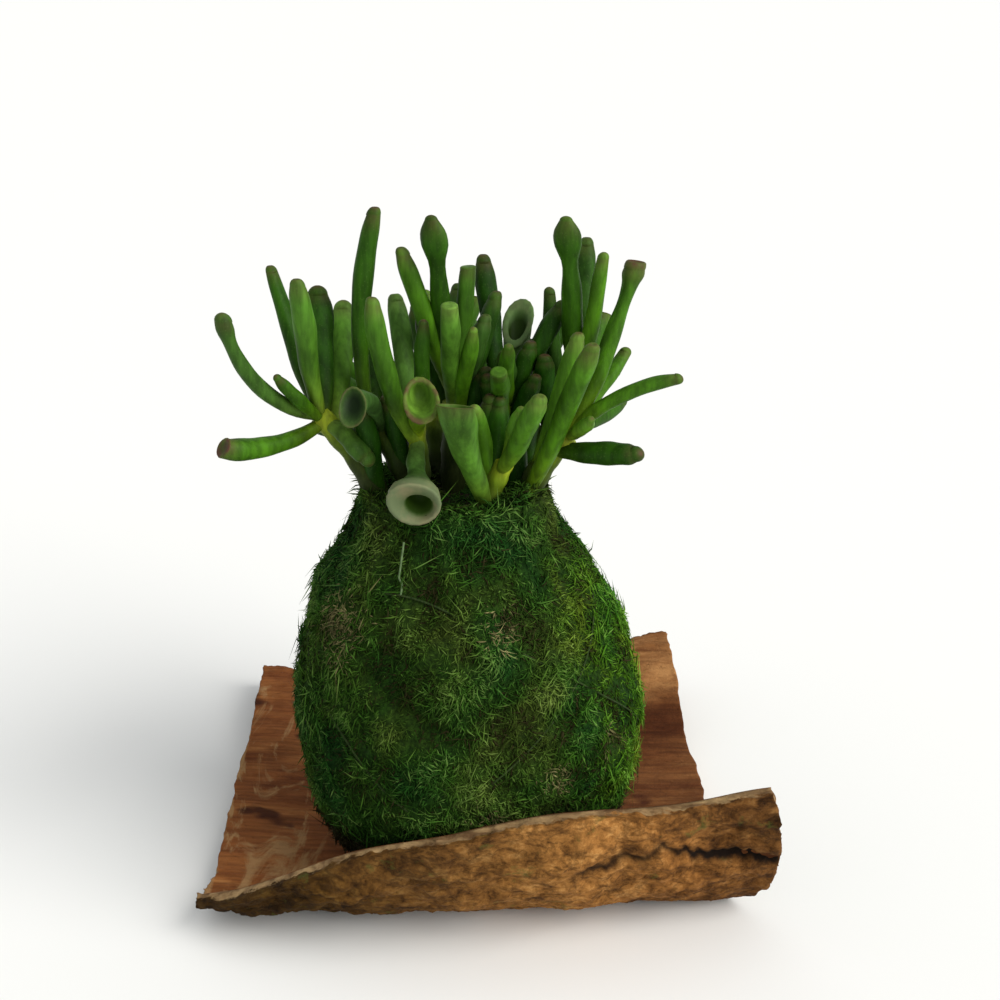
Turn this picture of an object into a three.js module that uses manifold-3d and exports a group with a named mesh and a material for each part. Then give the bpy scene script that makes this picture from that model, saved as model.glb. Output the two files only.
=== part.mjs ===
// Kokedama: a finger-leaved jade plant rooted in a ball of soil, which is wrapped in sheet moss, bound
// with thread and set on a curled slab of bark. Millimetres, +Z up, front towards -Y. The pieces are
// made round the ball's axis at x = 0, y = 0 and stand on z = 0. At the end the whole is moved
// sideways, so that the middle of its footprint is the origin.

import * as THREE from 'three';
import Module from 'manifold-3d';

const wasm = await Module();
wasm.setup();

// Driving dimensions
const GAP = 0.3; // between pieces that rest on or in each other
const BARK_FLOOR = 6; // height of the bark's inner face under the ball, and so its thickness there
const BARK_LEFT = -79;
const BARK_RIGHT = 80;
const BARK_BACK = 119;
const LIP_FRONT = 58; // how far the lip's inner rim stands in front of the ball's axis
const LIP_FOOT = 22; // how far in front of the axis the bark begins to curl up
const LIP_OVERHANG = 13; // how far the lip's right end runs past the rest of the slab
const LIP_LOW = 5; // the lip's height over the inner face at its left end
const LIP_RISE = 37.5; // how much higher the lip stands right of the middle
const LIP_END_RISE = 2; // how much more it still rises towards its right end
const LIP_WAVE = 1.2; // how far the lip's rim waves up and down
const LIP_WAVE_LENGTH = 66; // from one crest of those waves to the next
const BACK_LOW = 2; // how much the back edge lifts at the left
const BACK_CURL = 16; // how much more the back edge lifts at the right than at the left
const BALL_BASE = BARK_FLOOR + GAP;
const BALL_HEIGHT = 122;
const BALL_LEAN = 4; // the neck stands this much to the left of the base
const MOSS_THICKNESS = 5;
const SOIL_TOP = BALL_HEIGHT - 5; // above the ball's base
const ROOT_DEPTH = 14; // how deep the stems stand in the soil
const STEM_FOOT = BALL_BASE + SOIL_TOP - ROOT_DEPTH;
const THREAD_RADIUS = 0.4;

// Small helpers

const radians = THREE.MathUtils.degToRad;
const step = (x, from, to) => THREE.MathUtils.smoothstep(x, from, to);

// A closed solid from its corner points and its triangles, whose corners run counter-clockwise seen
// from outside.
function makeSolid(points, triangles) {
  const vertProperties = new Float32Array(points.flatMap((p) => [p.x, p.y, p.z]));
  const triVerts = new Uint32Array(triangles.flat());
  return new wasm.Manifold(new wasm.Mesh({ numProp: 3, vertProperties, triVerts }));
}

// A body of rings, each joined to the next, closed by a fan to a point before the first ring and a
// fan to a point after the last one.
function loft(rings, first, last) {
  const count = rings[0].length;
  const points = [...rings.flat(), first, last];
  const firstIndex = points.length - 2;
  const lastIndex = points.length - 1;
  const lastRing = (rings.length - 1) * count;
  const triangles = [];
  for (let k = 0; k < count; k += 1) {
    const next = (k + 1) % count;
    triangles.push([firstIndex, next, k]);
    triangles.push([lastIndex, lastRing + k, lastRing + next]);
    for (let i = 0; i < rings.length - 1; i += 1) {
      const a = i * count;
      const b = a + count;
      triangles.push([a + k, a + next, b + next], [a + k, b + next, b + k]);
    }
  }
  return makeSolid(points, triangles);
}

function makeMesh(name, body, material) {
  const { vertProperties, triVerts } = body.getMesh();
  const geometry = new THREE.BufferGeometry();
  geometry.setAttribute('position', new THREE.BufferAttribute(new Float32Array(vertProperties), 3));
  geometry.setIndex(new THREE.BufferAttribute(new Uint32Array(triVerts), 1));
  geometry.computeVertexNormals();
  const mesh = new THREE.Mesh(geometry, material);
  mesh.name = name;
  return mesh;
}

// Bark slab: one piece of thick bark, nearly flat behind the ball and at the left, with a front lip
// that curls up higher towards the right and a back right corner that curls up a little. The inner
// face is smooth. The outer one is corky, with a fissure at the lip's right end, and is flat where it
// lies on the table.

const BARK_COLUMNS = 42;
const FLOOR_ROWS = 9;
const LIP_ROWS = 11;

// The lip's rim at x: how far in front of the axis it is, and how high.
function lipFront(x) {
  return x < 0 ? LIP_FRONT - 16 * (x / 80) ** 2 : LIP_FRONT - 12 * step(x, 20, 80);
}

function lipHeight(x) {
  const rise = THREE.MathUtils.clamp((x + 80) / 110, 0, 1);
  const wave = LIP_WAVE * Math.cos((2 * Math.PI * (x - 30)) / LIP_WAVE_LENGTH);
  return LIP_LOW + LIP_RISE * Math.sin((rise * Math.PI) / 2) + LIP_END_RISE * step(x, 60, 95) + wave;
}

function barkSection(across, row) {
  const onLip = row >= FLOOR_ROWS;
  const turn = onLip ? (radians(90) * (row - FLOOR_ROWS + 1)) / LIP_ROWS : 0;
  const towardsBack = Math.max(1 - row / FLOOR_ROWS, 0);
  const ragged = 0.5 * Math.sin(0.9 * row) + 0.5 * Math.sin(2.3 * row + 1);
  const left = BARK_LEFT - 5 * towardsBack - 2 * Math.sin(turn) + ragged;
  const right = BARK_RIGHT - 5 * towardsBack ** 2 + LIP_OVERHANG * Math.sin(1.6 * turn) - ragged;
  const x = THREE.MathUtils.lerp(left, right, across);
  const lift = lipHeight(x);
  const reach = lipFront(x) - LIP_FOOT;
  const back = BARK_BACK + 1.5 * Math.sin(x / 9) + 1.2 * Math.sin(x / 4 + 2);
  const floor = BARK_FLOOR + 2 * step(-x, 45, 84);
  const inner = new THREE.Vector3(x);
  const outward = new THREE.Vector3();
  if (onLip) {
    inner.y = -LIP_FOOT - reach * Math.sin(turn);
    inner.z = floor + lift * (1 - Math.cos(turn));
    outward.set(0, -Math.sin(turn) / reach, -Math.cos(turn) / lift).normalize();
  } else {
    inner.y = THREE.MathUtils.lerp(back, -LIP_FOOT, row / (FLOOR_ROWS - 1));
    const curl = BACK_LOW + BACK_CURL * step(x, -20, 80);
    inner.z = floor + curl * step(inner.y, 55, BARK_BACK);
    outward.set(0, 0, -1);
  }
  const cork = 0.8 * Math.sin(x / 5 + 2 * turn) + 0.7 * Math.sin(9 * turn - x / 11);
  const fissureTurn = radians(73 - 9 * step(x, 58, 76));
  const fissure = 3 * step(x, 40, 90) * Math.exp(-(((turn - fissureTurn) / radians(7)) ** 2));
  const leftThinning = 2 * step(-x, 60, 84);
  const bendThinning = (1.5 + 2.5 * step(x, 73, 93)) * Math.sin(2 * turn);
  const thinning = leftThinning + bendThinning + fissure;
  const thickness = BARK_FLOOR - thinning + Math.sin(turn) * cork;
  const outer = inner.clone().addScaledVector(outward, thickness);
  outer.z = Math.max(outer.z, 0);
  return { inner, outer };
}

function makeBark() {
  const rows = FLOOR_ROWS + LIP_ROWS;
  const points = [];
  for (let i = 0; i < BARK_COLUMNS; i += 1) {
    for (let j = 0; j < rows; j += 1) {
      const { inner, outer } = barkSection(i / (BARK_COLUMNS - 1), j);
      points.push(inner, outer);
    }
  }
  const top = (i, j) => 2 * (i * rows + j);
  const under = (i, j) => top(i, j) + 1;
  const triangles = [];
  const quad = (a, b, c, d) => triangles.push([a, b, c], [a, c, d]);
  const lastColumn = BARK_COLUMNS - 1;
  const lastRow = rows - 1;
  for (let i = 0; i < lastColumn; i += 1) {
    for (let j = 0; j < lastRow; j += 1) {
      quad(top(i, j), top(i, j + 1), top(i + 1, j + 1), top(i + 1, j));
      quad(under(i, j), under(i + 1, j), under(i + 1, j + 1), under(i, j + 1));
    }
    quad(top(i, 0), top(i + 1, 0), under(i + 1, 0), under(i, 0));
    quad(top(i, lastRow), under(i, lastRow), under(i + 1, lastRow), top(i + 1, lastRow));
  }
  for (let j = 0; j < lastRow; j += 1) {
    quad(top(0, j), under(0, j), under(0, j + 1), top(0, j + 1));
    quad(top(lastColumn, j), top(lastColumn, j + 1), under(lastColumn, j + 1), under(lastColumn, j));
  }
  return makeSolid(points, triangles);
}

// Ball: the moss cover is a pear-shaped wrap with a flat base and an open neck, and the soil ball
// fills it to a little below the neck. Both follow one outline of radius over height.

const BALL_COLUMNS = 44;
const ballOutline = new THREE.SplineCurve([
  new THREE.Vector2(25, 0),
  new THREE.Vector2(41, 7),
  new THREE.Vector2(51, 22),
  new THREE.Vector2(55, 42),
  new THREE.Vector2(52.5, 69),
  new THREE.Vector2(46.5, 88),
  new THREE.Vector2(34.5, 108),
  new THREE.Vector2(29, BALL_HEIGHT),
]);

// Hummocks of the moss, in millimetres, none at the base and the neck.
function hummock(angle, height) {
  const waves = Math.sin(3 * angle + 0.05 * height + 0.6) + Math.sin(5 * angle - 0.08 * height + 2);
  return 0.6 * waves * step(height, 14, 40) * (1 - step(height, 95, BALL_HEIGHT));
}

function ballRing(radius, height, relief) {
  return Array.from({ length: BALL_COLUMNS }, (_, k) => {
    const angle = (2 * Math.PI * k) / BALL_COLUMNS;
    const r = radius + relief * hummock(angle, height);
    const lean = BALL_LEAN * step(height, 45, BALL_HEIGHT);
    return new THREE.Vector3(r * Math.cos(angle) - lean, r * Math.sin(angle), BALL_BASE + height);
  });
}

// Rings from the base up along the outline, moved in from it by inset.
function ballRings(count, inset, top, relief) {
  const rings = [];
  for (let i = 0; i < count; i += 1) {
    const along = i / (count - 1);
    const point = ballOutline.getPointAt(along);
    const tangent = ballOutline.getTangentAt(along);
    const height = Math.min(point.y + inset * tangent.x, top);
    rings.push(ballRing(point.x - inset * tangent.y, height, relief));
    if (height === top) break;
  }
  return rings;
}

const onAxis = (height, lean) => new THREE.Vector3(-lean, 0, BALL_BASE + height);

// A stem that leans over the neck presses the moss aside.
function makeMossCover(stemHoles) {
  const outside = ballRings(20, 0, BALL_HEIGHT, 1);
  const inside = ballRings(12, MOSS_THICKNESS, BALL_HEIGHT, 0).reverse();
  const whole = loft([...outside, ...inside], onAxis(0, 0), onAxis(MOSS_THICKNESS, 0));
  return stemHoles.reduce((moss, hole) => moss.subtract(hole), whole);
}

function makeSoilBall(stemHoles) {
  const inset = MOSS_THICKNESS + GAP;
  const rings = ballRings(12, inset, SOIL_TOP, 0);
  const whole = loft(rings, onAxis(inset, 0), onAxis(SOIL_TOP + 1, BALL_LEAN));
  return stemHoles.reduce((soil, hole) => soil.subtract(hole), whole);
}

// Binding thread: wound round the ball in slanting turns that cross and lie on each other, so the
// turns are one body. A short cut end runs up from one turn at the front left.

const THREAD_STEPS = 40;
const THREAD_TURNS = [245, 20, 135]; // directions in which the turns are highest, degrees
const THREAD_MIDDLE = 58; // height of the turns' middle above the ball's base
const THREAD_SWING = 42; // the turns rise and fall this much from it
const THREAD_END = 15; // height the cut end climbs

function ballRadiusAt(height) {
  const points = ballOutline.getPoints(120);
  const above = points.findIndex((p) => p.y >= height);
  const [low, high] = [points[above - 1], points[above]];
  return THREE.MathUtils.mapLinear(height, low.y, high.y, low.x, high.x);
}

function threadPoint(angle, height) {
  const clear = 2.2 * THREAD_RADIUS + GAP;
  const r = ballRadiusAt(height) + hummock(angle, height) + clear;
  const lean = BALL_LEAN * step(height, 45, BALL_HEIGHT);
  return new THREE.Vector3(r * Math.cos(angle) - lean, r * Math.sin(angle), BALL_BASE + height);
}

// The thread's square section at a point, set across the direction it runs in.
function threadRing(point, from, to) {
  const tangent = to.clone().sub(from).normalize();
  const outward = new THREE.Vector3(point.x, point.y, 0).normalize();
  const across = tangent.clone().cross(outward).normalize();
  const normal = across.clone().cross(tangent);
  return [45, 135, 225, 315].map((angle) => (
    point.clone().addScaledVector(normal, THREAD_RADIUS * Math.cos(radians(angle)))
      .addScaledVector(across, THREAD_RADIUS * Math.sin(radians(angle)))
  ));
}

function threadTurn(highest) {
  const path = Array.from({ length: THREAD_STEPS }, (_, i) => {
    const angle = (2 * Math.PI * i) / THREAD_STEPS;
    return threadPoint(angle, THREAD_MIDDLE + THREAD_SWING * Math.cos(angle - radians(highest)));
  });
  const at = (i) => path[(i + THREAD_STEPS) % THREAD_STEPS];
  const points = path.flatMap((p, i) => threadRing(p, at(i - 1), at(i + 1)));
  const triangles = [];
  for (let a = 0; a < points.length; a += 4) {
    const b = (a + 4) % points.length;
    for (let k = 0; k < 4; k += 1) {
      const next = (k + 1) % 4;
      triangles.push([a + k, a + next, b + next], [a + k, b + next, b + k]);
    }
  }
  return makeSolid(points, triangles);
}

function threadEnd() {
  const angle = radians(THREAD_TURNS[0]);
  const start = THREAD_MIDDLE + THREAD_SWING;
  const path = [0, 0.5, 1].map((share) => threadPoint(angle, start + share * THREAD_END));
  const rings = path.map((p, i) => threadRing(p, path[Math.max(i - 1, 0)], path[Math.min(i + 1, 2)]));
  return loft(rings, path[0], path[2]);
}

function makeThread() {
  return THREAD_TURNS.reduce((thread, highest) => thread.add(threadTurn(highest)), threadEnd());
}

// Leafy stems: each stem is a short thick branch, and its leaves are tubes that grow from it. The
// forms give a leaf's rings as [share of its length, half width, half depth], the slant of its cut
// tip in degrees and how deep the tip is hollowed. A closed tip has no hollow and ends in a dome.

const LEAF_SIDES = 6;
const LEAF_FORMS = {
  finger: {
    rings: [[0, 1.8, 1.5], [0.2, 2.5, 2.2], [0.55, 3.1, 2.9], [0.86, 3.2, 3], [0.97, 2.3, 2.1]],
    slant: 12,
    hollow: 0,
  },
  stout: {
    rings: [[0, 2.4, 2.1], [0.2, 3, 2.7], [0.5, 3.6, 3.4], [0.86, 3.6, 3.4], [0.97, 2.6, 2.4]],
    slant: 10,
    hollow: 0,
  },
  spindle: {
    rings: [[0, 1.6, 1.3], [0.25, 2.5, 2.3], [0.6, 2.5, 2.3], [0.84, 2.3, 2.1], [0.93, 2.9, 2.7],
      [0.98, 2.2, 2]],
    slant: 8,
    hollow: 0,
  },
  slim: {
    rings: [[0, 1.5, 1.3], [0.25, 2.3, 2.1], [0.55, 2.4, 2.2], [0.87, 2.2, 2], [0.97, 1.6, 1.5]],
    slant: 10,
    hollow: 0,
  },
  taper: {
    rings: [[0, 1.8, 1.5], [0.2, 2.7, 2.4], [0.45, 3.2, 2.9], [0.8, 2.3, 2.1], [0.97, 1.6, 1.5]],
    slant: 14,
    hollow: 0,
  },
  cropped: {
    rings: [[0, 1.7, 1.5], [0.2, 2.3, 2.1], [0.5, 3.1, 2.9], [0.9, 3.4, 3.2], [0.985, 3.2, 3]],
    slant: 14,
    hollow: 0,
  },
  stub: {
    rings: [[0, 1.8, 1.5], [0.2, 2.4, 2.2], [0.6, 2.7, 2.5], [0.9, 2.7, 2.5], [0.985, 2.5, 2.3]],
    slant: 10,
    hollow: 0,
  },
  knob: {
    rings: [[0, 1.7, 1.4], [0.25, 2.8, 2.5], [0.6, 2.7, 2.4], [0.84, 2.3, 2.1], [0.94, 3.4, 3.2],
      [0.98, 3.1, 2.9]],
    slant: 8,
    hollow: 0,
  },
  flame: {
    rings: [[0, 1.8, 1.5], [0.25, 2.9, 2.5], [0.6, 3, 2.6], [0.77, 2.5, 2.2], [0.86, 4.2, 3.1],
      [0.95, 3, 2.2]],
    slant: 0,
    hollow: 0,
  },
  paddle: {
    rings: [[0, 1.8, 1.5], [0.25, 3, 2.3], [0.6, 4.2, 2.8], [0.86, 4.2, 2.8], [0.97, 2.9, 2]],
    slant: 8,
    hollow: 0,
  },
  bud: {
    rings: [[0, 1.4, 1.1], [0.3, 2.1, 1.8], [0.65, 2.4, 2.1], [0.9, 2, 1.8], [0.98, 1.1, 1]],
    slant: 0,
    hollow: 0,
  },
  cup: {
    rings: [[0, 1.8, 1.5], [0.2, 2.5, 2.2], [0.55, 2.9, 2.7], [0.84, 3.1, 2.9], [1, 3.5, 3.3]],
    slant: 18,
    hollow: 1.8,
  },
  ladle: {
    rings: [[0, 1.8, 1.5], [0.2, 2.3, 2.1], [0.55, 2.7, 2.5], [0.84, 3.4, 3.6], [1, 3.8, 4.5]],
    slant: 35,
    hollow: 2,
  },
  scoop: {
    rings: [[0, 2, 1.7], [0.2, 2.6, 2.3], [0.5, 3.4, 3.1], [0.8, 4.5, 4.7], [1, 4.9, 5.7]],
    slant: 30,
    hollow: 4,
  },
  trumpet: {
    rings: [[0, 2, 1.7], [0.2, 2.7, 2.4], [0.5, 3.9, 3.2], [0.8, 4.9, 4], [1, 5.3, 4.1]],
    slant: 36,
    hollow: 2.6,
  },
  funnel: {
    rings: [[0, 1.8, 1.5], [0.25, 2.8, 2.5], [0.5, 3.4, 3.2], [0.75, 4.4, 3.9], [0.9, 4.9, 4.4]],
    slant: 59,
    hollow: 5,
  },
  bell: {
    rings: [[0, 2, 1.9], [0.3, 2.8, 2.6], [0.58, 2.9, 2.7], [0.72, 4.8, 4.5], [0.86, 7.2, 6.8],
      [1, 7.8, 7.4]],
    slant: 0,
    hollow: 5.5,
  },
};

// A leaf starts at base, points along heading (degrees from +X, counter-clockwise seen from above)
// and rise (degrees above level), and bends upwards by bow over its length. Its tip is cut on the
// slant, shorter on the upper side.
function makeLeaf(base, heading, rise, length, bow, formName) {
  const form = LEAF_FORMS[formName];
  const away = new THREE.Vector3(Math.cos(radians(heading)), Math.sin(radians(heading)), 0);
  const up = new THREE.Vector3(0, 0, 1);
  const side = new THREE.Vector3(-away.y, away.x, 0);
  const pitchAt = (share) => radians(rise + bow * (share - 0.5));
  const tangentAt = (share) => away.clone().multiplyScalar(Math.cos(pitchAt(share)))
    .addScaledVector(up, Math.sin(pitchAt(share)));
  const normalAt = (share) => up.clone().multiplyScalar(Math.cos(pitchAt(share)))
    .addScaledVector(away, -Math.sin(pitchAt(share)));
  const ring = (centre, share, halfWidth, halfDepth, slant) => {
    const tangent = tangentAt(share);
    const normal = normalAt(share);
    return Array.from({ length: LEAF_SIDES }, (_, k) => {
      const angle = (2 * Math.PI * (k + 0.5)) / LEAF_SIDES;
      const depth = halfDepth * Math.sin(angle);
      const point = centre.clone().addScaledVector(side, halfWidth * Math.cos(angle));
      return point.addScaledVector(normal, depth)
        .addScaledVector(tangent, -depth * Math.tan(radians(slant)));
    });
  };
  const rings = [];
  const centre = base.clone();
  let from = 0;
  for (const [share, halfWidth, halfDepth] of form.rings) {
    const middle = (from + share) / 2;
    centre.addScaledVector(tangentAt(middle), length * (share - from));
    rings.push(ring(centre, share, halfWidth, halfDepth, form.slant * step(share, 0.55, 0.95)));
    from = share;
  }
  const [, rimWidth, rimDepth] = form.rings.at(-1);
  const tipTangent = tangentAt(from);
  if (form.hollow > 0) {
    rings.push(ring(centre, from, 0.78 * rimWidth, 0.78 * rimDepth, form.slant));
    const bottom = centre.clone().addScaledVector(tipTangent, -form.hollow);
    rings.push(ring(bottom, from, 0.4 * rimWidth, 0.4 * rimDepth, form.slant));
    return loft(rings, base, bottom);
  }
  const tip = centre.clone().addScaledVector(tipTangent, length * (1 - from));
  return loft(rings, base.clone().addScaledVector(tangentAt(0), -0.2), tip);
}

// A stem rises steeply from its foot in the soil and leans over to its crown.
const STEM_SIDES = 8;
const STEM_RINGS = 6;

function stemCurve([footX, footY], crown) {
  const foot = new THREE.Vector3(footX, footY, STEM_FOOT);
  const end = new THREE.Vector3(...crown);
  const bend = foot.clone().lerp(end, 0.3).setZ(THREE.MathUtils.lerp(STEM_FOOT, end.z, 0.65));
  return new THREE.QuadraticBezierCurve3(foot, bend, end);
}

function stemBody(curve, radius, grow) {
  const rings = [];
  for (let i = 0; i < STEM_RINGS; i += 1) {
    const along = i / (STEM_RINGS - 1);
    const centre = curve.getPoint(along);
    const tangent = curve.getTangent(along);
    if (i === 0) centre.z -= grow;
    const side = new THREE.Vector3(tangent.z, 0, -tangent.x).normalize();
    const normal = tangent.clone().cross(side);
    const r = radius * (1 - 0.15 * along) + grow;
    rings.push(Array.from({ length: STEM_SIDES }, (_, k) => {
      const angle = (2 * Math.PI * k) / STEM_SIDES;
      const point = centre.clone().addScaledVector(side, r * Math.cos(angle));
      return point.addScaledVector(normal, r * Math.sin(angle));
    }));
  }
  const foot = curve.getPoint(0);
  foot.z -= 0.5 + grow;
  const crown = curve.getPoint(1).addScaledVector(curve.getTangent(1), 1.5);
  return loft(rings, foot, crown);
}

// Each stem's foot, crown and radius, then its leaves: how far up the stem, heading, rise, length,
// bow and form.
const STEMS = {
  stem_left: {
    foot: [-22, -3],
    crown: [-43, -8, 152],
    radius: 3.5,
    leaves: [
      [1, -149, 50, 46, 65, 'spindle'],
      [0.95, -143, -3, 34, 42, 'cropped'],
      [0.95, -22, -36, 17, -30, 'paddle'],
      [0.95, 148, 68, 48, 10, 'taper'],
      [1, -110, 76, 43, 5, 'finger'],
      [0.95, 99, 68, 38, 0, 'paddle'],
      [0.9, -141, 46, 25, 10, 'bud'],
      [0.85, 86, 56, 39, 10, 'paddle'],
      [0.85, 100, 35, 34, 30, 'finger'],
    ],
  },
  stem_left_inner: {
    foot: [-12, -1],
    crown: [-29, -2, 149],
    radius: 3,
    leaves: [
      [1, 0, 87, 63, -25, 'finger'],
      [0.85, -98, 28, 42, -60, 'ladle'],
      [0.9, 100, 45, 40, 15, 'finger'],
      [0.75, 135, 15, 34, 30, 'finger'],
    ],
  },
  stem_middle_left: {
    foot: [-13, -8],
    crown: [-15, -6, 148],
    radius: 2.8,
    leaves: [
      [0.8, -135, 71, 50, 30, 'finger'],
      [0.8, 109, 61, 46, 0, 'finger'],
      [0.9, -84, 37, 31, -50, 'scoop'],
      [0.85, -90, -20, 28, 6, 'bell'],
      [1, -60, 80, 34, 10, 'bud'],
    ],
  },
  stem_middle: {
    foot: [-5, 7],
    crown: [-4, 7, 152],
    radius: 3.2,
    leaves: [
      [1, -154, 71, 50, 0, 'finger'],
      [1, -119, 78, 59, 0, 'flame'],
      [0.85, -91, 60, 46, 10, 'stub'],
      [0.95, 88, 54, 39, 10, 'finger'],
      [1, -33, 83, 42, 0, 'stub'],
      [0.9, 0, 72, 30, 0, 'finger'],
      [0.75, -71, 61, 41, 10, 'bud'],
      [0.7, 132, 68, 38, 10, 'finger'],
      [0.7, 20, 72, 44, 0, 'finger'],
    ],
  },
  stem_front: {
    foot: [3, -15],
    crown: [11, -17, 141],
    radius: 2.8,
    leaves: [
      [0.45, -115, 75, 36.3, -60, 'slim'],
      [0.45, -115, 61, 43.5, 10, 'trumpet'],
      [0.85, -58, 53, 34.5, 10, 'finger'],
      [1, -58, 65, 20, 0, 'bud'],
      [0.6, 50, 82, 27.5, 0, 'finger'],
      [0.3, 65, 83, 36, 0, 'finger'],
    ],
  },
  stem_middle_right: {
    foot: [9, 4],
    crown: [11, 5, 152],
    radius: 3,
    leaves: [
      [1, 110, 65, 45, 25, 'finger'],
      [0.95, -89, 67, 20, 0, 'finger'],
      [0.9, -85, 59, 29, 0, 'bud'],
      [0.85, -94, 44, 29.5, 10, 'stub'],
      [1, 10, 60, 34, 0, 'finger'],
      [0.8, 48, 60, 26, 0, 'finger'],
      [0.8, -10, 72, 26, 0, 'finger'],
      [0.8, -129, 66, 17, 0, 'stout'],
    ],
  },
  stem_right: {
    foot: [12, -6],
    crown: [29, -12, 147],
    radius: 3.2,
    leaves: [
      [0.35, -52, 61, 62, 5, 'finger'],
      [0.45, -24, 73, 51, 5, 'finger'],
      [0.85, -35, 8, 28, 5, 'stout'],
      [0.95, -4, 30, 40, -46, 'slim'],
      [1, 27, 66, 53, 15, 'knob'],
      [0.9, 43, 40, 37, 5, 'slim'],
      [1, -60, 35, 15, 20, 'bud'],
    ],
  },
  stem_right_back: {
    foot: [10, 12],
    crown: [33, 8, 152],
    radius: 3,
    leaves: [
      [1, -112, 77, 59, 0, 'flame'],
      [1, 80, 73, 48, 5, 'finger'],
      [0.95, -62, 72, 52, 6, 'slim'],
      [0.8, 70, 25, 42, 30, 'finger'],
      [0.85, 68, 34, 42, 20, 'cup'],
      [0.75, 50, 0, 36, 30, 'finger'],
      [0.7, -101, 72, 26, 0, 'finger'],
      [0.8, 120, 82, 40, 0, 'slim'],
    ],
  },
  stem_back: {
    foot: [-9, 16],
    crown: [-12, 27, 142],
    radius: 3,
    leaves: [
      [1, 95, 40, 48, 20, 'finger'],
      [1, 150, 82, 34, 0, 'finger'],
      [1, 20, 78, 30, 0, 'finger'],
      [1, 150, 20, 44, 15, 'cup'],
      [1, 60, 50, 42, 10, 'cup'],
      [0.9, 135, 8, 48, 25, 'finger'],
      [0.9, 85, 10, 46, 25, 'cup'],
      [0.85, 165, 25, 42, 20, 'finger'],
      [0.75, 160, 0, 42, 25, 'cup'],
    ],
  },
  stem_back_right: {
    foot: [2, 13],
    crown: [13, 28, 142],
    radius: 3,
    leaves: [
      [1, 88, 22, 44, 10, 'cup'],
      [1, 74, 75, 31, 0, 'funnel'],
      [0.8, -60, 60, 20, 0, 'finger'],
      [1, 5, 68, 34, 0, 'finger'],
      [1, 48, 46, 44, 15, 'cup'],
      [1, 118, 35, 44, 15, 'flame'],
      [0.9, 55, 15, 46, 25, 'finger'],
      [0.9, 95, 5, 44, 25, 'cup'],
      [0.85, 24, 20, 42, 25, 'finger'],
    ],
  },
};

function makeLeafyStem({ foot, crown, radius, leaves }) {
  const curve = stemCurve(foot, crown);
  const stem = stemBody(curve, radius, 0);
  return leaves.reduce((body, [at, ...leaf]) => body.add(makeLeaf(curve.getPoint(at), ...leaf)), stem);
}

const stemHoles = Object.values(STEMS).map(({ foot, crown, radius }) => (
  stemBody(stemCurve(foot, crown), radius, GAP)
));

// Colours and finishes
const barkFinish = new THREE.MeshStandardMaterial({ color: 0x7d5530, roughness: 0.85, metalness: 0 });
const mossFinish = new THREE.MeshStandardMaterial({ color: 0x2c4f16, roughness: 0.95, metalness: 0 });
const soilFinish = new THREE.MeshStandardMaterial({ color: 0x2e2118, roughness: 0.95, metalness: 0 });
const threadFinish = new THREE.MeshStandardMaterial({ color: 0x8f8c6a, roughness: 0.7, metalness: 0 });
const leafFinish = new THREE.MeshStandardMaterial({ color: 0x45701f, roughness: 0.4, metalness: 0 });

const kokedama = new THREE.Group();
kokedama.add(makeMesh('bark_slab', makeBark(), barkFinish));
kokedama.add(makeMesh('moss_cover', makeMossCover(stemHoles), mossFinish));
kokedama.add(makeMesh('soil_ball', makeSoilBall(stemHoles), soilFinish));
kokedama.add(makeMesh('binding_thread', makeThread(), threadFinish));
for (const [name, stem] of Object.entries(STEMS)) {
  kokedama.add(makeMesh(name, makeLeafyStem(stem), leafFinish));
}

const box = new THREE.Box3().setFromObject(kokedama);
kokedama.position.set(-(box.min.x + box.max.x) / 2, -(box.min.y + box.max.y) / 2, 0);

export default kokedama;
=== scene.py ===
import math

import bpy
import numpy as np
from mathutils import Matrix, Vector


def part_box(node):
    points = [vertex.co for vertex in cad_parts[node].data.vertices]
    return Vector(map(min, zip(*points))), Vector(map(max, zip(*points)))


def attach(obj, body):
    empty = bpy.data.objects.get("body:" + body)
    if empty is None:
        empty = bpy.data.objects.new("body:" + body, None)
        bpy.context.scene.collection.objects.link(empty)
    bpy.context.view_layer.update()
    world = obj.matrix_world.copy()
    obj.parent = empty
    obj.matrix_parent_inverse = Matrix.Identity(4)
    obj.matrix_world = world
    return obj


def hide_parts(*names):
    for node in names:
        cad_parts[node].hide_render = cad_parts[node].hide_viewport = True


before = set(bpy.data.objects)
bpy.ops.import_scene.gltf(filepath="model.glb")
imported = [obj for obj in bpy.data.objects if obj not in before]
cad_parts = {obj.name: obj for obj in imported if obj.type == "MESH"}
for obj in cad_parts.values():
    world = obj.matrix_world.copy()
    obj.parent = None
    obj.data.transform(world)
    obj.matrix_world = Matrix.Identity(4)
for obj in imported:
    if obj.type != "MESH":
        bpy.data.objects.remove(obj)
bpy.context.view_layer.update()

# Bark slab: one piece of thick tree bark, cut from the trunk and dried, so that its front edge has
# curled up into a lip. The inner face is smooth and reddish, the outer one is ochre cork with a
# fissure at the lip's right end. It lies loose on the table and nothing fixes the ball to it.

MM = 0.001
QUARTER_TURN, FULL_TURN = math.pi / 2, 2 * math.pi
soil_low, soil_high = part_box("soil_ball")
BALL_AXIS = np.array([(soil_low.x + soil_high.x) / 2, (soil_low.y + soil_high.y) / 2, 0.0])

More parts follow.
